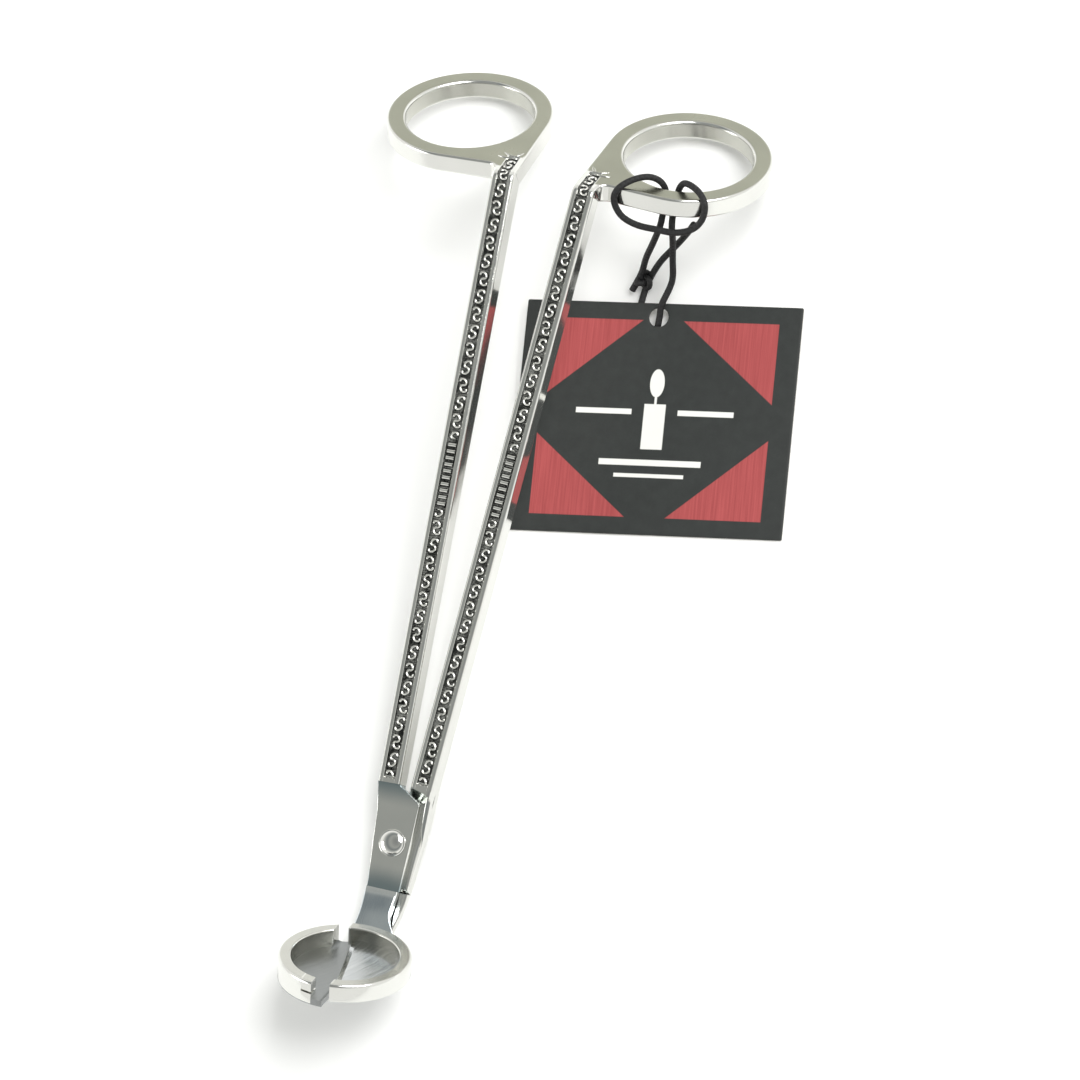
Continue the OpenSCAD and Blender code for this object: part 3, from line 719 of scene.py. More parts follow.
def plate_shell(side, outer, neck_outer, neck_inner, bore):
    """Ring of profiles from the bore to the outline, on the front of the lap for the front
    lever and behind it for the rear one, whose bulging side is rounded towards the front."""
    corners = plate_outline(outer, neck_outer, neck_inner)
    angle = np.unique(np.round(np.concatenate([
        np.linspace(-np.pi, np.pi, 220, endpoint=False) + 0.004,
        np.arctan2(corners[:, 1], corners[:, 0])]), 4))
    angle = angle[np.concatenate([[True], np.diff(angle) > 0.003])]
    reach = ray_distance(corners, angle)
    x, y = reach * np.cos(angle), reach * np.sin(angle)
    c, s = math.cos(open_angle), math.sin(open_angle)
    at_arm = x * s + y * c > arm_start - 0.02
    r = np.where((y < -neck_start + 0.02) | at_arm, 0.0, 0.28)
    t = plate_top - lap_gap
    arc = np.radians(np.linspace(0, 90, 5))
    stops = [(0, 0, 0), (0.05, 0, 0), (0.3, 0, 0), (0.6, 0, 0), (0.97, 1, 0)]
    stops += [(1, 1 - math.cos(v), 1 - math.sin(v)) for v in arc[::-1]]
    share, inset, down = np.array(stops).T
    level = t - down[None] * r[:, None]
    lap_soft = np.where((x > 3) & (y < 9) & (side == REAR), lap_round, 0.05)[:, None]
    lap_soft = lap_soft * np.where(side == REAR, smoothstep((8.5 - y) / 3), 1)[:, None] + 0.01
    turn = np.radians([0, 22, 45, 68, 90])[None]
    level = np.concatenate([level, lap_soft * (1 - np.sin(turn)), np.zeros((len(angle), 2))], 1)
    rounding = np.concatenate([inset[None] * r[:, None], lap_soft * (1 - np.cos(turn)),
                               lap_soft, np.zeros((len(angle), 1))], 1)
    share = np.concatenate([share, [1] * 5, [0.97, 0]])
    cone = cone_low + (cone_high - cone_low) * (level + lap_gap) / arm_front - 0.05
    edge = reach[:, None] - rounding
    edge = np.where((x < 0.3)[:, None] & (y > 0)[:, None], np.minimum(edge, cone), edge)
    radius = bore * (1 - share)[None] + edge * share[None]
    z = (level + lap_gap) * (1 if side == FRONT else -1)
    points = np.stack([radius * np.cos(angle)[:, None] * (-1 if side == FRONT else 1),
                       radius * np.sin(angle)[:, None], z], -1)
    return on_table(points), grid_faces(len(angle), len(share), True)


def root_shell(side, rear_half):
    """End of the thick arm beyond the lap: strips from the scooped cone up to where the bar
    starts, side by side across the arm. Its sides and back follow the bar's soft corners."""
    half, soft, height = arm_width / 2, 0.55, arm_back if rear_half else arm_front
    x = np.concatenate([[-half], -half + soft * (1 - np.cos(np.radians([30, 60, 90]))),
                        np.linspace(-1.2, 1.2, 9),
                        half - soft * (1 - np.cos(np.radians([90, 60, 30]))), [half]])
    past = np.clip(np.abs(x) - (half - soft), 0, None)
    rise = abs(height) - soft + np.sqrt(np.clip(soft ** 2 - past ** 2, 0, None))
    up = np.linspace(0, 1, 9)
    z = rise[:, None] * up[None]
    cone = cone_low + (cone_high - cone_low) * (z / arm_front) ** 0.8
    y = np.sqrt(cone ** 2 - (x[:, None] + arm_offset) ** 2)
    y = np.concatenate([y, np.full((len(x), 9), arm_start)], 1)
    z = np.concatenate([z, z[:, ::-1]], 1)
    z = np.where(z < 0.01, -0.02, z) * (-1 if rear_half else 1)
    points = np.stack([np.broadcast_to(x[:, None], y.shape), y, z], -1)
    return on_arm(side, points), grid_faces(len(x), y.shape[1], False)


def cheek_shell():
    """Cheek beside the front plate: a wedge that runs from the rear arm down the rear plate,
    lower and narrower on the way."""
    t = np.linspace(0, 1, 24)[:, None]
    y = 10.25 * (1 - t) + 0.3 * t
    inner = 4.22 + 0.66 * smoothstep((3.5 - y) / 3.2)
    outer = 5.22 * (1 - t) + 4.93 * t
    top = 0.1 + 1.75 * (1 - t) ** 0.85
    a = np.radians(np.linspace(180, 0, 9))[None, :]
    middle, half = (inner + outer) / 2, np.maximum((outer - inner) / 2, 0.02)
    x = np.concatenate([inner, middle + half * np.sign(np.cos(a)) * np.abs(np.cos(a)) ** 0.4,
                        outer], 1)
    soft = np.minimum(0.3, top / 2)
    z = np.concatenate([np.full_like(t, -0.05), top - soft + soft * np.abs(np.sin(a)) ** 0.4,
                        np.full_like(t, -0.05)], 1)
    return on_table(np.stack([x, np.broadcast_to(y, x.shape), z], -1)), grid_faces(24, 11, False)


front_plate = make_mesh("front_lap_plate", [plate_shell(FRONT, 3.9, 2.9, 3.2, 1.56),
                                            root_shell(FRONT, True)], 30)
rear_plate = make_mesh("rear_lap_plate", [plate_shell(REAR, 4.9, 4.4, 3.2, 1.5),
                                          root_shell(REAR, False), cheek_shell()], 30)
finish_piece(front_plate, "front_lever", "polished_steel", "front_pivot_plate")
finish_piece(rear_plate, "rear_lever", "polished_steel", "rear_pivot_plate")

# %% [markdown]
# The rivet's head is a low dome inside a narrow rim that the press left standing. A turned
# surface is a profile carried round an axis; here the height is a function of the distance
# from the axis alone.

# %% The rivet
def rivet_shell():
    """Low dome above a narrow rim on the front, the shank, and a peened tail behind, as
    rings round the axis."""
    angle = np.arange(64) / 64 * 2 * np.pi
    dome_r = np.linspace(0.02, 2.1, 16)
    dome_z = 2.2 + 0.7 * np.sqrt(np.clip(1 - (dome_r / 2.2) ** 2, 0, 1))
    r = np.concatenate([dome_r, [2.16, 2.36, 2.45, 2.45, 1.5, 1.5, 2.1], np.linspace(2.1, 0.02, 8)])
    tail = -1.95 - 0.1 - 0.45 * np.sqrt(np.clip(1 - (r[23:] / 2.12) ** 2, 0, 1))
    z = np.concatenate([dome_z, [2.36, 2.32, 2.2, 1.98, 1.98, -1.95, -1.95], tail])
    points = np.stack([r[None] * np.cos(angle)[:, None], r[None] * np.sin(angle)[:, None],
                       np.broadcast_to(z, (64, len(r)))], -1).transpose(1, 0, 2)
    return on_table(points), grid_faces(len(r), 64, False)


rivet = make_mesh("rivet", [rivet_shell()], 26)
finish_piece(rivet, "rear_lever", "rivet_steel", "pivot_rivet")

# %% [markdown]
# Below the pivot each lever has a neck that bends forward into its half of the tray. A neck
# is a soft-edged strip whose front and back follow two curves seen from the side, and whose
# right edge flares out to run into the tray's wall in one sweep.

# %% The necks
tray_angle = math.radians(60)
tray_y, tray_z, tray_radius = -21.0, 13.8557, 11.9


def in_tray(points):
    """From the tray's own frame, with its open side up, to the table."""
    p = np.asarray(points, float)
    c, s = math.cos(tray_angle), math.sin(tray_angle)
    return on_table(np.stack([p[..., 0], tray_y + p[..., 1] * c + p[..., 2] * s,
                              tray_z - p[..., 1] * s + p[..., 2] * c], -1))


def side_curve(points, count):
    """Smooth curve through a few (Y, Z) points seen from the side, evenly sampled."""
    path = smooth_route(np.array(points, float), 12)
    length = np.concatenate([[0], np.cumsum(np.linalg.norm(np.diff(path, axis=0), axis=1))])
    at = np.linspace(0, length[-1], count)
    return np.stack([np.interp(at, length, path[:, k]) for k in (0, 1)], 1)


def neck_shell(front, back, left, right, soft, stretch):
    """Strip between two side curves. Each station is a ring: front face from left to right
    with soft corners, then the back face. Stretch pushes the end on where the tray's round
    wall lies further away."""
    n = len(front)
    a = np.radians(np.linspace(0, 90, 5))
    across = np.concatenate([1 - np.cos(a), [0], [0], 1 - np.cos(a[::-1])])
    share = np.linspace(0.06, 0.94, 9)
    left, right = left[:, None], right[:, None]
    front_x = np.concatenate([left + soft * (1 - np.cos(a))[None], left + (right - left) * share,
                              right - soft * (1 - np.cos(a[::-1]))[None]], 1)
    drop = np.concatenate([1 - np.sin(a), np.zeros(9), 1 - np.sin(a[::-1])]) * soft
    back_x = np.concatenate([right - 0.12, left + 0.12], 1)
    thick = np.linalg.norm(front - back, axis=1)[:, None]
    part = np.concatenate([drop[None] / thick, np.ones((n, 2))], 1)
    x = np.concatenate([front_x, back_x], 1)
    yz = front[:, None] * (1 - part)[..., None] + back[:, None] * part[..., None]
    step = (front[-1] - front[-2]) / np.linalg.norm(front[-1] - front[-2])
    push = smoothstep(np.linspace(0, 1, n) / 0.95)[:, None] * stretch * (
        tray_radius - np.sqrt(tray_radius ** 2 - x ** 2))
    yz = yz + push[..., None] * step
    return on_table(np.concatenate([x[..., None], yz], -1)), grid_faces(n, x.shape[1], False)


neck_count = 26
front_neck_front = side_curve([(-8.4, 1.95), (-9.3, 2.0), (-10.4, 2.3), (-12.6, 2.95), (-15.05, 3.5),
                               (-15.9, 3.62)], neck_count)
front_neck_back = side_curve([(-8.4, 0.03), (-9.9, 0.35), (-11.4, 0.8), (-14.2, 1.55), (-16.6, 2.2),
                              (-17.4, 2.5)], neck_count)
s = np.linspace(0, 1, neck_count)
front_neck_mesh = make_mesh("front_neck_bend", [neck_shell(
    front_neck_front, front_neck_back, -3.2 + 0.25 * smoothstep(s * 2) - 0.25 * smoothstep((s - 0.6) / 0.4),
    2.9 - 0.15 * smoothstep(s * 2) + 3.6 * np.clip((s - 0.42) / 0.58, 0, 1) ** 2.2, 0.3, 1.35)], 30)
finish_piece(front_neck_mesh, "front_lever", "polished_steel", "front_neck")

rear_neck_front = side_curve([(-8.4, -0.03), (-10.5, 0.1), (-14, 0.68), (-18.3, 1.4), (-19.0, 1.5)],
                             neck_count)
rear_neck_back = side_curve([(-8.4, -1.95), (-10.5, -1.5), (-14.5, -0.5), (-18.6, 0.85), (-19.3, 1.15)],
                            neck_count)
rear_neck_mesh = make_mesh("rear_neck_bend", [neck_shell(
    rear_neck_front, rear_neck_back, -3.2 + 0 * s, 4.4 - 1.5 * smoothstep(s), 0.45, 0.6)], 30)
finish_piece(rear_neck_mesh, "rear_lever", "polished_steel", "rear_neck")

# %% [markdown]
# The tray is two halves of a shallow round cup that shear past each other. Each wall is a
# profile carried round the tray's axis between two flat ends, and each floor is a strip of
# chords: the right floor ends in a bevelled cutting edge, and the left one slides in under
# it and shows as a tongue through the front notch.

# %% The walls of the tray
wall_inner = 9.6


def wall_profile(top, bottom, outer_soft, inner_soft):
    """Closed profile as (radius, height): up the inside, over the rim, down the outside."""
    r0, r1 = wall_inner, tray_radius
    a = np.radians(np.linspace(0, 90, 7))
    inner = [(r0 + inner_soft * (1 - np.cos(v)), top - inner_soft * (1 - np.sin(v))) for v in a]
    outer = [(r1 - outer_soft * (1 - np.cos(v)), top - outer_soft * (1 - np.sin(v)))
             for v in a[::-1]]
    foot = [(r1, bottom + 0.3), (r1 - 0.08, bottom + 0.09), (r1 - 0.3, bottom), (r0, bottom)]
    return np.array([(r0, bottom + 0.4), (r0, top - inner_soft - 0.03)] + inner
                    + [(r0 + inner_soft + 0.04, top), (r1 - outer_soft - 0.04, top)] + outer
                    + [(r1, top - outer_soft - 0.03)] + foot)


def wall_shell(profile, first, last, count):
    """Carries the profile from one end to the other. Each end is a plane at its own X, given
    as (X, is it at the back), so the angle there depends on the radius."""
    def angle_at(end, radius):
        x, at_back = end
        return np.pi / 2 - np.arcsin(x / radius) if at_back else -np.pi / 2 + np.arcsin(x / radius)
    radius, height = profile.T
    start, stop = angle_at(first, radius), angle_at(last, radius)
    stop = np.where(stop < start, stop + 2 * np.pi, stop)
    t = np.linspace(0, 1, count)[:, None]
    angle = start * (1 - t) + stop * t
    points = np.stack([radius * np.cos(angle), radius * np.sin(angle),
                       np.broadcast_to(height, angle.shape)], -1)
    return in_tray(points), grid_faces(count, len(radius), False)


right_profile = wall_profile(0, -3.45, 0.55, 0.3)
right_wall = make_mesh("right_tray_wall", [wall_shell(right_profile, (1.9, False), (-3.1, True), 110)], 28)
finish_piece(right_wall, "front_lever", "polished_steel", "upper_tray_wall")

rim_left, slit_top, slit_low = -0.4, -2.35, -2.75
left_profile = wall_profile(rim_left, -4.85, 0.55, 0.3)
above_slit = wall_profile(rim_left, slit_top, 0.55, 0.3)
above_slit[:, 1] = np.where(above_slit[:, 1] < slit_top + 0.5, slit_top, above_slit[:, 1])
above_slit[-4:, 0] = [tray_radius, tray_radius, tray_radius, wall_inner]
below_slit = left_profile.copy()
below_slit[:, 1] = np.minimum(below_slit[:, 1], slit_low)
below_slit[:, 0] = np.where(left_profile[:, 1] > slit_low,
                            np.where(left_profile[:, 0] > 10.7, tray_radius, wall_inner),
                            below_slit[:, 0])
left_wall = make_mesh("left_tray_wall", [
    wall_shell(left_profile, (-5.5, True), (-3.7, False), 90),
    wall_shell(above_slit, (-3.7, False), (-1.6, False), 12),
    wall_shell(below_slit, (-3.7, False), (-1.6, False), 12)], 28)
finish_piece(left_wall, "rear_lever", "polished_steel", "lower_tray_wall")

# %% The floors of the tray
def right_floor_shell():
    """Chords across from the cutting edge to the wall. The edge runs straight from the back
    to the front notch, with a bevel a millimetre wide on its top."""
    back, front = np.array([-3.1, 11.9]), np.array([1.9, -11.9])
    way = (front - back) / np.linalg.norm(front - back)
    across = np.array([-way[1], way[0]])
    length = np.linalg.norm(front - back)
    t = np.linspace(1.3, length - 1.3, 60)[:, None]
    start = back + way * t
    limit = 10.6
    b = start @ across
    gap = np.sqrt(np.clip(limit ** 2 - (start ** 2).sum(1) + b ** 2, 0, None)) - b
    gap = np.maximum(gap, 1.3)
    width = np.array([0, 0.02, 1.0, 1.08])
    rest = np.linspace(0.12, 1, 14)
    w = np.concatenate([np.broadcast_to(width, (60, 4)), 1.08 + (gap[:, None] - 1.08) * rest,
                        gap[:, None], np.full((60, 1), 0.6)], 1)
    z = np.concatenate([[-3.4, -3.22, -2.44, -2.4], np.full(14, -2.4), [-3.42, -3.42]])
    xy = start[:, None] + across * w[..., None]
    z = np.broadcast_to(z, w.shape)
    return in_tray(np.concatenate([xy, z[..., None]], -1)), grid_faces(60, w.shape[1], False)


def left_floor_shell():
    """Chords from front to back, as far across as the tongue. Under the other half's neck
    the top slopes down, to stay clear as the halves slide."""
    x = np.concatenate([np.linspace(-11.6, -10, 8), np.linspace(-9.6, 0.15, 30), [0.35, 0.5]])
    reach = np.sqrt(11.86 ** 2 - x ** 2)
    share = np.concatenate([[-1, -0.999], np.linspace(-0.985, 0.985, 30), [0.999, 1, 1, -1]])
    y = reach[:, None] * share[None]
    relief = math.tan(math.radians(3.4)) * np.clip(y - 4, 0, None) * smoothstep((x[:, None] + 5.6) / 0.6)
    z = -3.65 - relief
    z[:, 0] = z[:, -3] = -3.8
    z[:, -2:] = -4.82
    z[:, -3] = z[:, -4] - 0.15
    edge = smoothstep((0.5 - x) / 0.25)[:, None]
    z = np.where(z > -4.5, z - 0.1 * (1 - edge), z)
    return in_tray(np.stack([np.broadcast_to(x[:, None], y.shape), y, z], -1)), \
        grid_faces(len(x), len(share), False)


right_floor = make_mesh("right_tray_floor", [right_floor_shell()], 20)
finish_piece(right_floor, "front_lever", "tray_floor", "upper_blade")
left_floor = make_mesh("left_tray_floor", [left_floor_shell()], 20)
finish_piece(left_floor, "rear_lever", "tray_floor", "lower_blade")

# %% [markdown]
# Polished plating shows its surroundings, so its own colour is nearly white and only
# slightly warm. What makes it look real is that it isn't perfect: a cast part keeps a faint
# waviness, hairlines from polishing, and a little dullness where hands hold it. The flats of
# the bows and the inside of the tray are marked by an attribute: there the finish is a little
# rougher, as if ground, and its colour is painted shade, a darker olive tint. The front plate's
# ends carry a painted dark band, and the neck a painted blue reflection and painted highlights
# at its ends. The surroundings are a plain studio: white below and at
# the sides, a softer grey overhead.

# %% A small wrapper for shader sums
class Socket:
    """A shader socket that can be added, multiplied and so on; each sum adds a Math node."""

    def __init__(self, tree, link):
        self.tree, self.link = tree, link

    def sum(self, kind, *others):
        return node(self.tree, "ShaderNodeMath", {"operation": kind}, [self, *others])[0]

    def __add__(self, other):
        return self.sum("ADD", other)

    def __mul__(self, other):
        return self.sum("MULTIPLY", other)

    def __sub__(self, other):
        return self.sum("SUBTRACT", other)

    def __rsub__(self, other):
        return self.sum("MULTIPLY", -1.0).sum("ADD", other)

    __radd__, __rmul__ = __add__, __mul__


def node(tree, kind, settings=None, inputs=()):
    """Adds a node, sets its settings, then its sockets by order or by name."""
    made = tree.nodes.new(kind)
    for key, value in (settings or {}).items():
        if key == "stops":
            ramp = made.color_ramp
            while len(ramp.elements) < len(value):
                ramp.elements.new(0.5)
            for element, (at, colour) in zip(ramp.elements, value):
                element.position, element.color = at, (*colour, 1)
        else:
            setattr(made, key, value)
    pairs = inputs.items() if isinstance(inputs, dict) else enumerate(inputs)
    for key, value in pairs:
        if isinstance(value, Socket):
            tree.links.new(value.link, made.inputs[key])
        elif value is not None:
            made.inputs[key].default_value = value
    return [Socket(tree, out) for out in made.outputs]


def new_material(name):
    """A material with one Principled shader; returns it, its tree, shader and place."""
    material = bpy.data.materials.new(name)
    material.use_nodes = True
    tree = material.node_tree
    shader = tree.nodes["Principled BSDF"]
    place = node(tree, "ShaderNodeTexCoord")[3]
    return material, tree, shader, place


def feed(shader, **values):
    """Sets or links the shader's sockets by name, with _ for a space."""
    for key, value in values.items():
        socket = shader.inputs[key.replace("_", " ")]
        if isinstance(value, Socket):
            value.tree.links.new(value.link, socket)
        else:
            socket.default_value = value


def mix_colour(tree, share, a, b):
    """Colour a where share is 0 and b where it is 1."""
    made = tree.nodes.new("ShaderNodeMix")
    made.data_type = "RGBA"
    for key, value in ((0, share), (6, a), (7, b)):
        if isinstance(value, Socket):
            tree.links.new(value.link, made.inputs[key])
        else:
            made.inputs[key].default_value = value if key == 0 else (*value, 1)
    return Socket(tree, made.outputs[2])


def noise(tree, place, scale, detail=2.0, stretch=None):
    """Noise at a scale per metre, stretched along an axis if asked."""
    if stretch:
        place = node(tree, "ShaderNodeMapping", {}, {"Vector": place, "Scale": stretch})[0]
    return node(tree, "ShaderNodeTexNoise", {}, {"Vector": place, "Scale": scale,
                                                 "Detail": detail})[0]


def bump(tree, height, strength, distance):
    return node(tree, "ShaderNodeBump", {}, {"Strength": strength, "Distance": distance,
                                             "Height": height})[0]


# %% The polished plating
def plated(name, tint, rough, haze, wave=0.35, facing_shade_tint=None, painted_end_bands=None):
    """Plating: slow waviness from the casting, fine hairlines, and patches a little duller.
    Faces marked by the attribute may take a painted shade tint and more roughness, and the
    ends of a piece a painted band in the given colour: painted shade when dark, a painted
    highlight when light."""
    material, tree, shader, place = new_material(name)
    patches = noise(tree, place, 90, 3)
    hair = noise(tree, place, 900, 2, (6.0, 0.6, 1.0))
    slow = noise(tree, place, 160, 1)
    colour = mix_colour(tree, patches, tint[0], tint[1])
    satin = 0.0
    # Painted shade: marked faces take the darker tint.
    if facing_shade_tint:
        flats = node(tree, "ShaderNodeAttribute", {"attribute_name": "flats"})[2]
        colour = mix_colour(tree, flats, colour, mix_colour(tree, patches, *facing_shade_tint))
        satin = flats * 0.14
    # Painted bands at both ends of the piece along Y, shade or highlight where its surface bends.
    if painted_end_bands:
        low, high, soft, end_band_colour = painted_end_bands
        along = node(tree, "ShaderNodeSeparateXYZ", {}, {0: place})[1] + (slow - 0.5) * 0.002
        lower = node(tree, "ShaderNodeMapRange", {"interpolation_type": "SMOOTHSTEP"},
                     {0: along, 1: low, 2: low + soft, 3: 1.0, 4: 0.0})[0]
        upper = node(tree, "ShaderNodeMapRange", {"interpolation_type": "SMOOTHSTEP"},
                     {0: along, 1: high - soft, 2: high})[0]
        colour = mix_colour(tree, lower.sum("MAXIMUM", upper) * 0.8, colour, end_band_colour)
    feed(shader, Metallic=1.0, Base_Color=colour,
         Roughness=patches * haze + hair * (haze * 0.5) + rough + satin,
         Normal=bump(tree, slow + hair * 0.05, wave, 0.0002))
    return material


def ends_of(obj):
    """Lowest and highest Y of a piece."""
    points = np.zeros(3 * len(obj.data.vertices))
    obj.data.vertices.foreach_get("co", points)
    return float(points[1::3].min()), float(points[1::3].max())


chrome = ((0.80, 0.80, 0.77), (0.70, 0.70, 0.67))
steel = plated("polished_plating", chrome, 0.05, 0.1)
# Painted shade: dark teal bands at both ends of the front plate.
plate_low, plate_high = ends_of(front_plate)
plate_steel = plated("plate_plating", ((0.84, 0.84, 0.80), (0.70, 0.71, 0.68)), 0.07, 0.1, 0.5,
                     painted_end_bands=(plate_low, plate_high - 0.0003, 0.0045, (0.22, 0.30, 0.33)))
# Painted reflection and highlight: the neck's blue tint, and near-white bands at its ends.
neck_low, neck_high = ends_of(front_neck_mesh)
neck_steel = plated("neck_plating", ((0.80, 0.85, 0.88), (0.58, 0.64, 0.67)), 0.06, 0.08, 0.9,
                    painted_end_bands=(neck_low - 0.002, neck_high + 0.0002, 0.0028, (1.0, 1.0, 0.97)))
# Painted shade: the darker olive tints of the marked flats on the bows and in the tray.
olive_facing_shade = ((0.36, 0.36, 0.29), (0.27, 0.275, 0.22))
bow_steel = plated("satin_plating_painted_shade", chrome, 0.07, 0.12, facing_shade_tint=olive_facing_shade)
tray_steel = plated("tray_plating", chrome, 0.06, 0.1, facing_shade_tint=((0.36, 0.355, 0.30), (0.27, 0.265, 0.22)))
rivet_steel = plated("rivet_plating", ((0.84, 0.84, 0.81), (0.76, 0.76, 0.73)), 0.05, 0.08, 0.2)


def dress(obj, material):
    obj.data.materials.clear()
    obj.data.materials.append(material)


for piece in (front_arm, rear_arm, rear_plate, rear_neck_mesh):
    dress(piece, steel)
dress(front_plate, plate_steel)
dress(front_neck_mesh, neck_steel)
# Painted shade: the tray's rim tops and inner walls are marked for the darker tint.
for piece in (right_wall, left_wall):
    mark_shade_and_satin(piece, (0, 0.776, 0.631), 0.5, in_tray([[0, 0, -1.2]])[0], 0.8)
    dress(piece, tray_steel)
for piece in (front_ring, rear_ring):
    dress(piece, bow_steel)
dress(rivet, rivet_steel)

# %% The scroll bands' finish
band_material, tree, shader, place = new_material("relief_dark_in_hollows")
relief = node(tree, "ShaderNodeAttribute", {"attribute_name": "relief"})[2]
top_share = node(tree, "ShaderNodeMapRange", {"interpolation_type": "SMOOTHSTEP"},
                 {0: relief, 1: 0.3, 2: 0.85})[0]
grime = noise(tree, place, 1500, 3)
# The hollows are coloured near black and the tops bright, by the relief height.
feed(shader, Metallic=1.0,
     Base_Color=mix_colour(tree, top_share, (0.018, 0.02, 0.018), (0.80, 0.80, 0.76)),
     Roughness=grime * 0.15 + (1 - top_share) * 0.3 + 0.1,
     Normal=bump(tree, grime, 0.3, 0.00005))
for piece in (front_band, rear_band):
    dress(piece, band_material)

# %% The tray floors' finish
def floor_finish(name, tint, rough, swirl):
    """Plating with the arcs of a grinding wheel: rings about a point well outside the tray."""
    material, tree, shader, place = new_material(name)
    centre = node(tree, "ShaderNodeVectorMath", {"operation": "DISTANCE"},
                  {0: place, 1: tuple(swirl)})[1]
    uneven = noise(tree, place, 260, 2)
    arcs = node(tree, "ShaderNodeTexNoise", {"noise_dimensions": "1D"},
                {"W": centre * 1400 + uneven * 1.2, "Scale": 1.0, "Detail": 4.0})[0]
    fade = noise(tree, place, 120, 1)
    marks = arcs * fade
    feed(shader, Metallic=1.0, Base_Color=mix_colour(tree, marks * 1.4, tint[0], tint[1]),
         Roughness=marks * 0.3 + rough, Normal=bump(tree, marks, 0.5, 0.0001))
    return material


swirl_at = in_tray([[-26, 12, -2.4]])[0]
dress(right_floor, floor_finish("ground_floor", ((0.42, 0.44, 0.45), (0.84, 0.85, 0.86)), 0.12, swirl_at))
dress(left_floor, floor_finish("plain_floor", ((0.26, 0.27, 0.27), (0.33, 0.34, 0.34)), 0.25, swirl_at))

# %% [markdown]
# The elastic is braided, so its skin is a lattice of two sets of strands that cross. The
# tube's own map, in millimetres, carries the pattern: one wave leans one way round the
# cord, the other the other way, and the higher of the two is what shows.

# %% The elastic's finish
elastic_material, tree, shader, place = new_material("black_braid")
wrap = node(tree, "ShaderNodeUVMap", {"uv_map": "wrap"})[0]
split = node(tree, "ShaderNodeSeparateXYZ", {}, {0: wrap})
round_cord, along_cord = split[0] * (6 * math.pi / (2 * math.pi * 0.6)), split[1] * 7.0
braid = (round_cord + along_cord).sum("SINE").sum("MAXIMUM", (round_cord - along_cord).sum("SINE"))
fuzz = noise(tree, place, 4000, 2)
feed(shader, Base_Color=mix_colour(tree, braid * 0.5 + 0.3, (0.002, 0.002, 0.002), (0.008, 0.008, 0.009)),
     Roughness=fuzz * 0.2 + 0.55, Normal=bump(tree, braid + fuzz * 0.4, 0.6, 0.00006))
for piece in (elastic, knot):
    dress(piece, elastic_material)

# %% [markdown]
# The card is printed in two inks: a near-black ground and a dull red in four corner
# triangles, cut off by a black diamond that reaches from edge to edge. The print is worked
# out from the card's own map, and so are the faint streaks in the red. In the middle a
# small candle and plain bars stand where a real tag would carry words.

# %% The tag's print
tag_material, tree, shader, place = new_material("printed_card")
print_map = node(tree, "ShaderNodeSeparateXYZ", {},
                 {0: node(tree, "ShaderNodeUVMap", {"uv_map": "print"})[0]})
card_x = (print_map[0] - 0.5) * tag_width
card_y = (print_map[1] - 0.5) * tag_height


def inside(value, limit, soft=0.08):
    """One where the value is under the limit, with a soft edge in millimetres."""
    return node(tree, "ShaderNodeMapRange", {"interpolation_type": "SMOOTHSTEP"},
                {0: value, 1: limit - soft, 2: limit + soft, 3: 1.0, 4: 0.0})[0]


def box_mask(cx, cy, half_x, half_y):
    dx = (card_x - cx).sum("ABSOLUTE")
    dy = (card_y - cy).sum("ABSOLUTE")
    return inside(dx, half_x) * inside(dy, half_y)


red_frame = box_mask(0.0, 0.0, tag_width / 2 - 4.2, tag_height / 2 - 3.2)
diamond = inside((card_x * (1 / 25.5)).sum("ABSOLUTE") + (card_y * (1 / 21.5)).sum("ABSOLUTE"), 1.0, 0.006)
red_share = red_frame * (1 - diamond)
streaks = node(tree, "ShaderNodeTexNoise", {"noise_dimensions": "2D"},
               {"Vector": node(tree, "ShaderNodeCombineXYZ", {}, {0: card_x * 3.0, 1: card_y * 0.08})[0],
                "Scale": 1.0, "Detail": 3.0})[0]
mottle = noise(tree, place, 500, 4)
red = mix_colour(tree, streaks, (0.26, 0.030, 0.032), (0.46, 0.080, 0.080))
black = mix_colour(tree, mottle, (0.009, 0.011, 0.010), (0.022, 0.026, 0.024))
ink = mix_colour(tree, red_share, black, red)

candle = box_mask(0.0, -1.5, 2.0, 4.2)
wick = box_mask(0.0, 3.6, 0.22, 1.0)
flame = inside((card_x * (1 / 1.35)).sum("POWER", 2.0) + ((card_y - 6.6) * (1 / 2.6)).sum("POWER", 2.0),
               1.0, 0.08)
bars = [(0.0, -8.2, 9.5, 0.55), (0.0, -10.6, 6.5, 0.35)]
light_ink = candle.sum("MAXIMUM", wick).sum("MAXIMUM", flame)
for bar in bars:
    light_ink = light_ink.sum("MAXIMUM", box_mask(*bar))
for sign in (-1, 1):
    light_ink = light_ink.sum("MAXIMUM", box_mask(sign * 9.5, 1.2, 5.2, 0.5))
ink = mix_colour(tree, light_ink, ink, (0.80, 0.80, 0.76))
printed = node(tree, "ShaderNodeAttribute", {"attribute_name": "printed"})[2]
fibre = noise(tree, place, 2500, 3)
feed(shader, Base_Color=mix_colour(tree, printed, (0.60, 0.58, 0.54), ink),
     Roughness=fibre * 0.15 + 0.5, Normal=bump(tree, fibre, 0.15, 0.00005))
dress(hang_tag, tag_material)

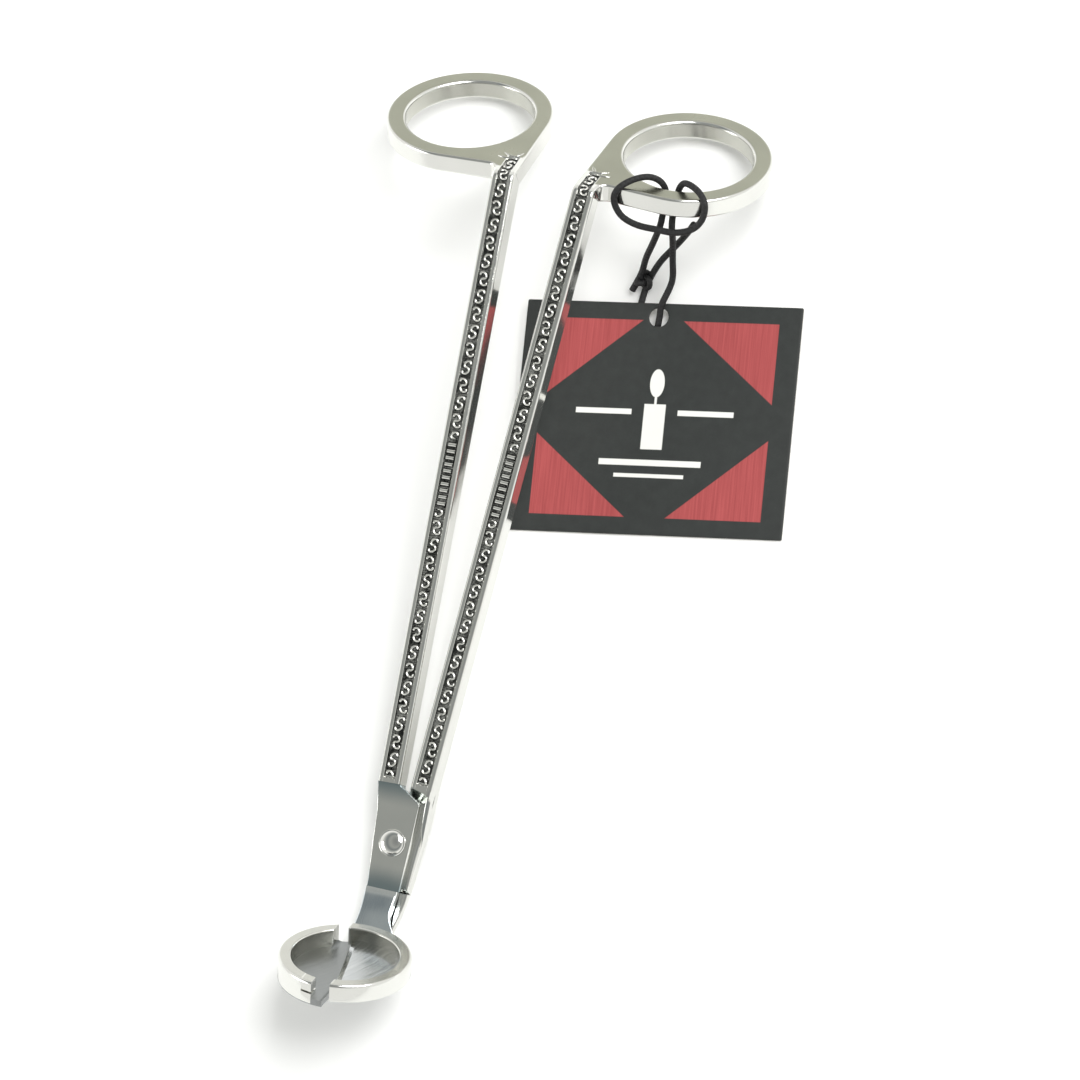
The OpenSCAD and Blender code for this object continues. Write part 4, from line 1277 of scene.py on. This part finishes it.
# %% [markdown]
# The floor is plain and pale. The light is a studio's: a large soft panel overhead, and
# white all round, because plating without white around it looks black. A softer grey
# overhead keeps the flat fronts darker than the sides.

# %% Floor and light
floor_mesh = bpy.data.meshes.new("studio_floor")
floor_mesh.from_pydata([(-1.5, -1.5, 0), (1.5, -1.5, 0), (1.5, 1.5, 0), (-1.5, 1.5, 0)], [], [(0, 1, 2, 3)])
studio_floor = bpy.data.objects.new("studio_floor", floor_mesh)
bpy.context.scene.collection.objects.link(studio_floor)
floor_material, tree, shader, place = new_material("pale_floor")
feed(shader, Base_Color=(0.93, 0.93, 0.92, 1), Roughness=0.9)
dress(studio_floor, floor_material)


def soft_panel(name, at, aim, size, power):
    """A square area light that faces a point."""
    data = bpy.data.lights.new(name, "AREA")
    data.size, data.energy = size, power
    panel = bpy.data.objects.new(name, data)
    bpy.context.scene.collection.objects.link(panel)
    back = np.array(at, float) - np.array(aim, float)
    back /= np.linalg.norm(back)
    side = np.cross([0, 1, 0.01], back)
    side /= np.linalg.norm(side)
    turn = np.eye(4)
    turn[:3, 0], turn[:3, 1], turn[:3, 2], turn[:3, 3] = side, np.cross(back, side), back, at
    panel.matrix_world = turn.T.tolist()


soft_panel("overhead", (0.55, 0.45, 1.1), (0, 0, 0), 0.8, 15)
soft_panel("left_side", (-1.0, -0.5, 0.5), (0, 0, 0), 0.6, 5)

world = bpy.data.worlds.new("studio")
bpy.context.scene.world = world
world.use_nodes = True
tree = world.node_tree
sky = node(tree, "ShaderNodeTexCoord")[0]
height = node(tree, "ShaderNodeSeparateXYZ", {}, {0: sky})[2]
colours = node(tree, "ShaderNodeValToRGB", {"stops": [
    (0.0, (1.0, 1.0, 0.98)), (0.5, (1.0, 1.0, 0.97)), (0.68, (0.55, 0.56, 0.54)),
    (0.84, (0.20, 0.22, 0.225)), (0.93, (0.40, 0.41, 0.39)), (1.0, (0.26, 0.27, 0.265))]},
    {0: height})[0]
tree.links.new(colours.link, tree.nodes["Background"].inputs["Color"])
tree.nodes["Background"].inputs["Strength"].default_value = 1.0
bpy.context.scene.view_settings.view_transform = "Standard"
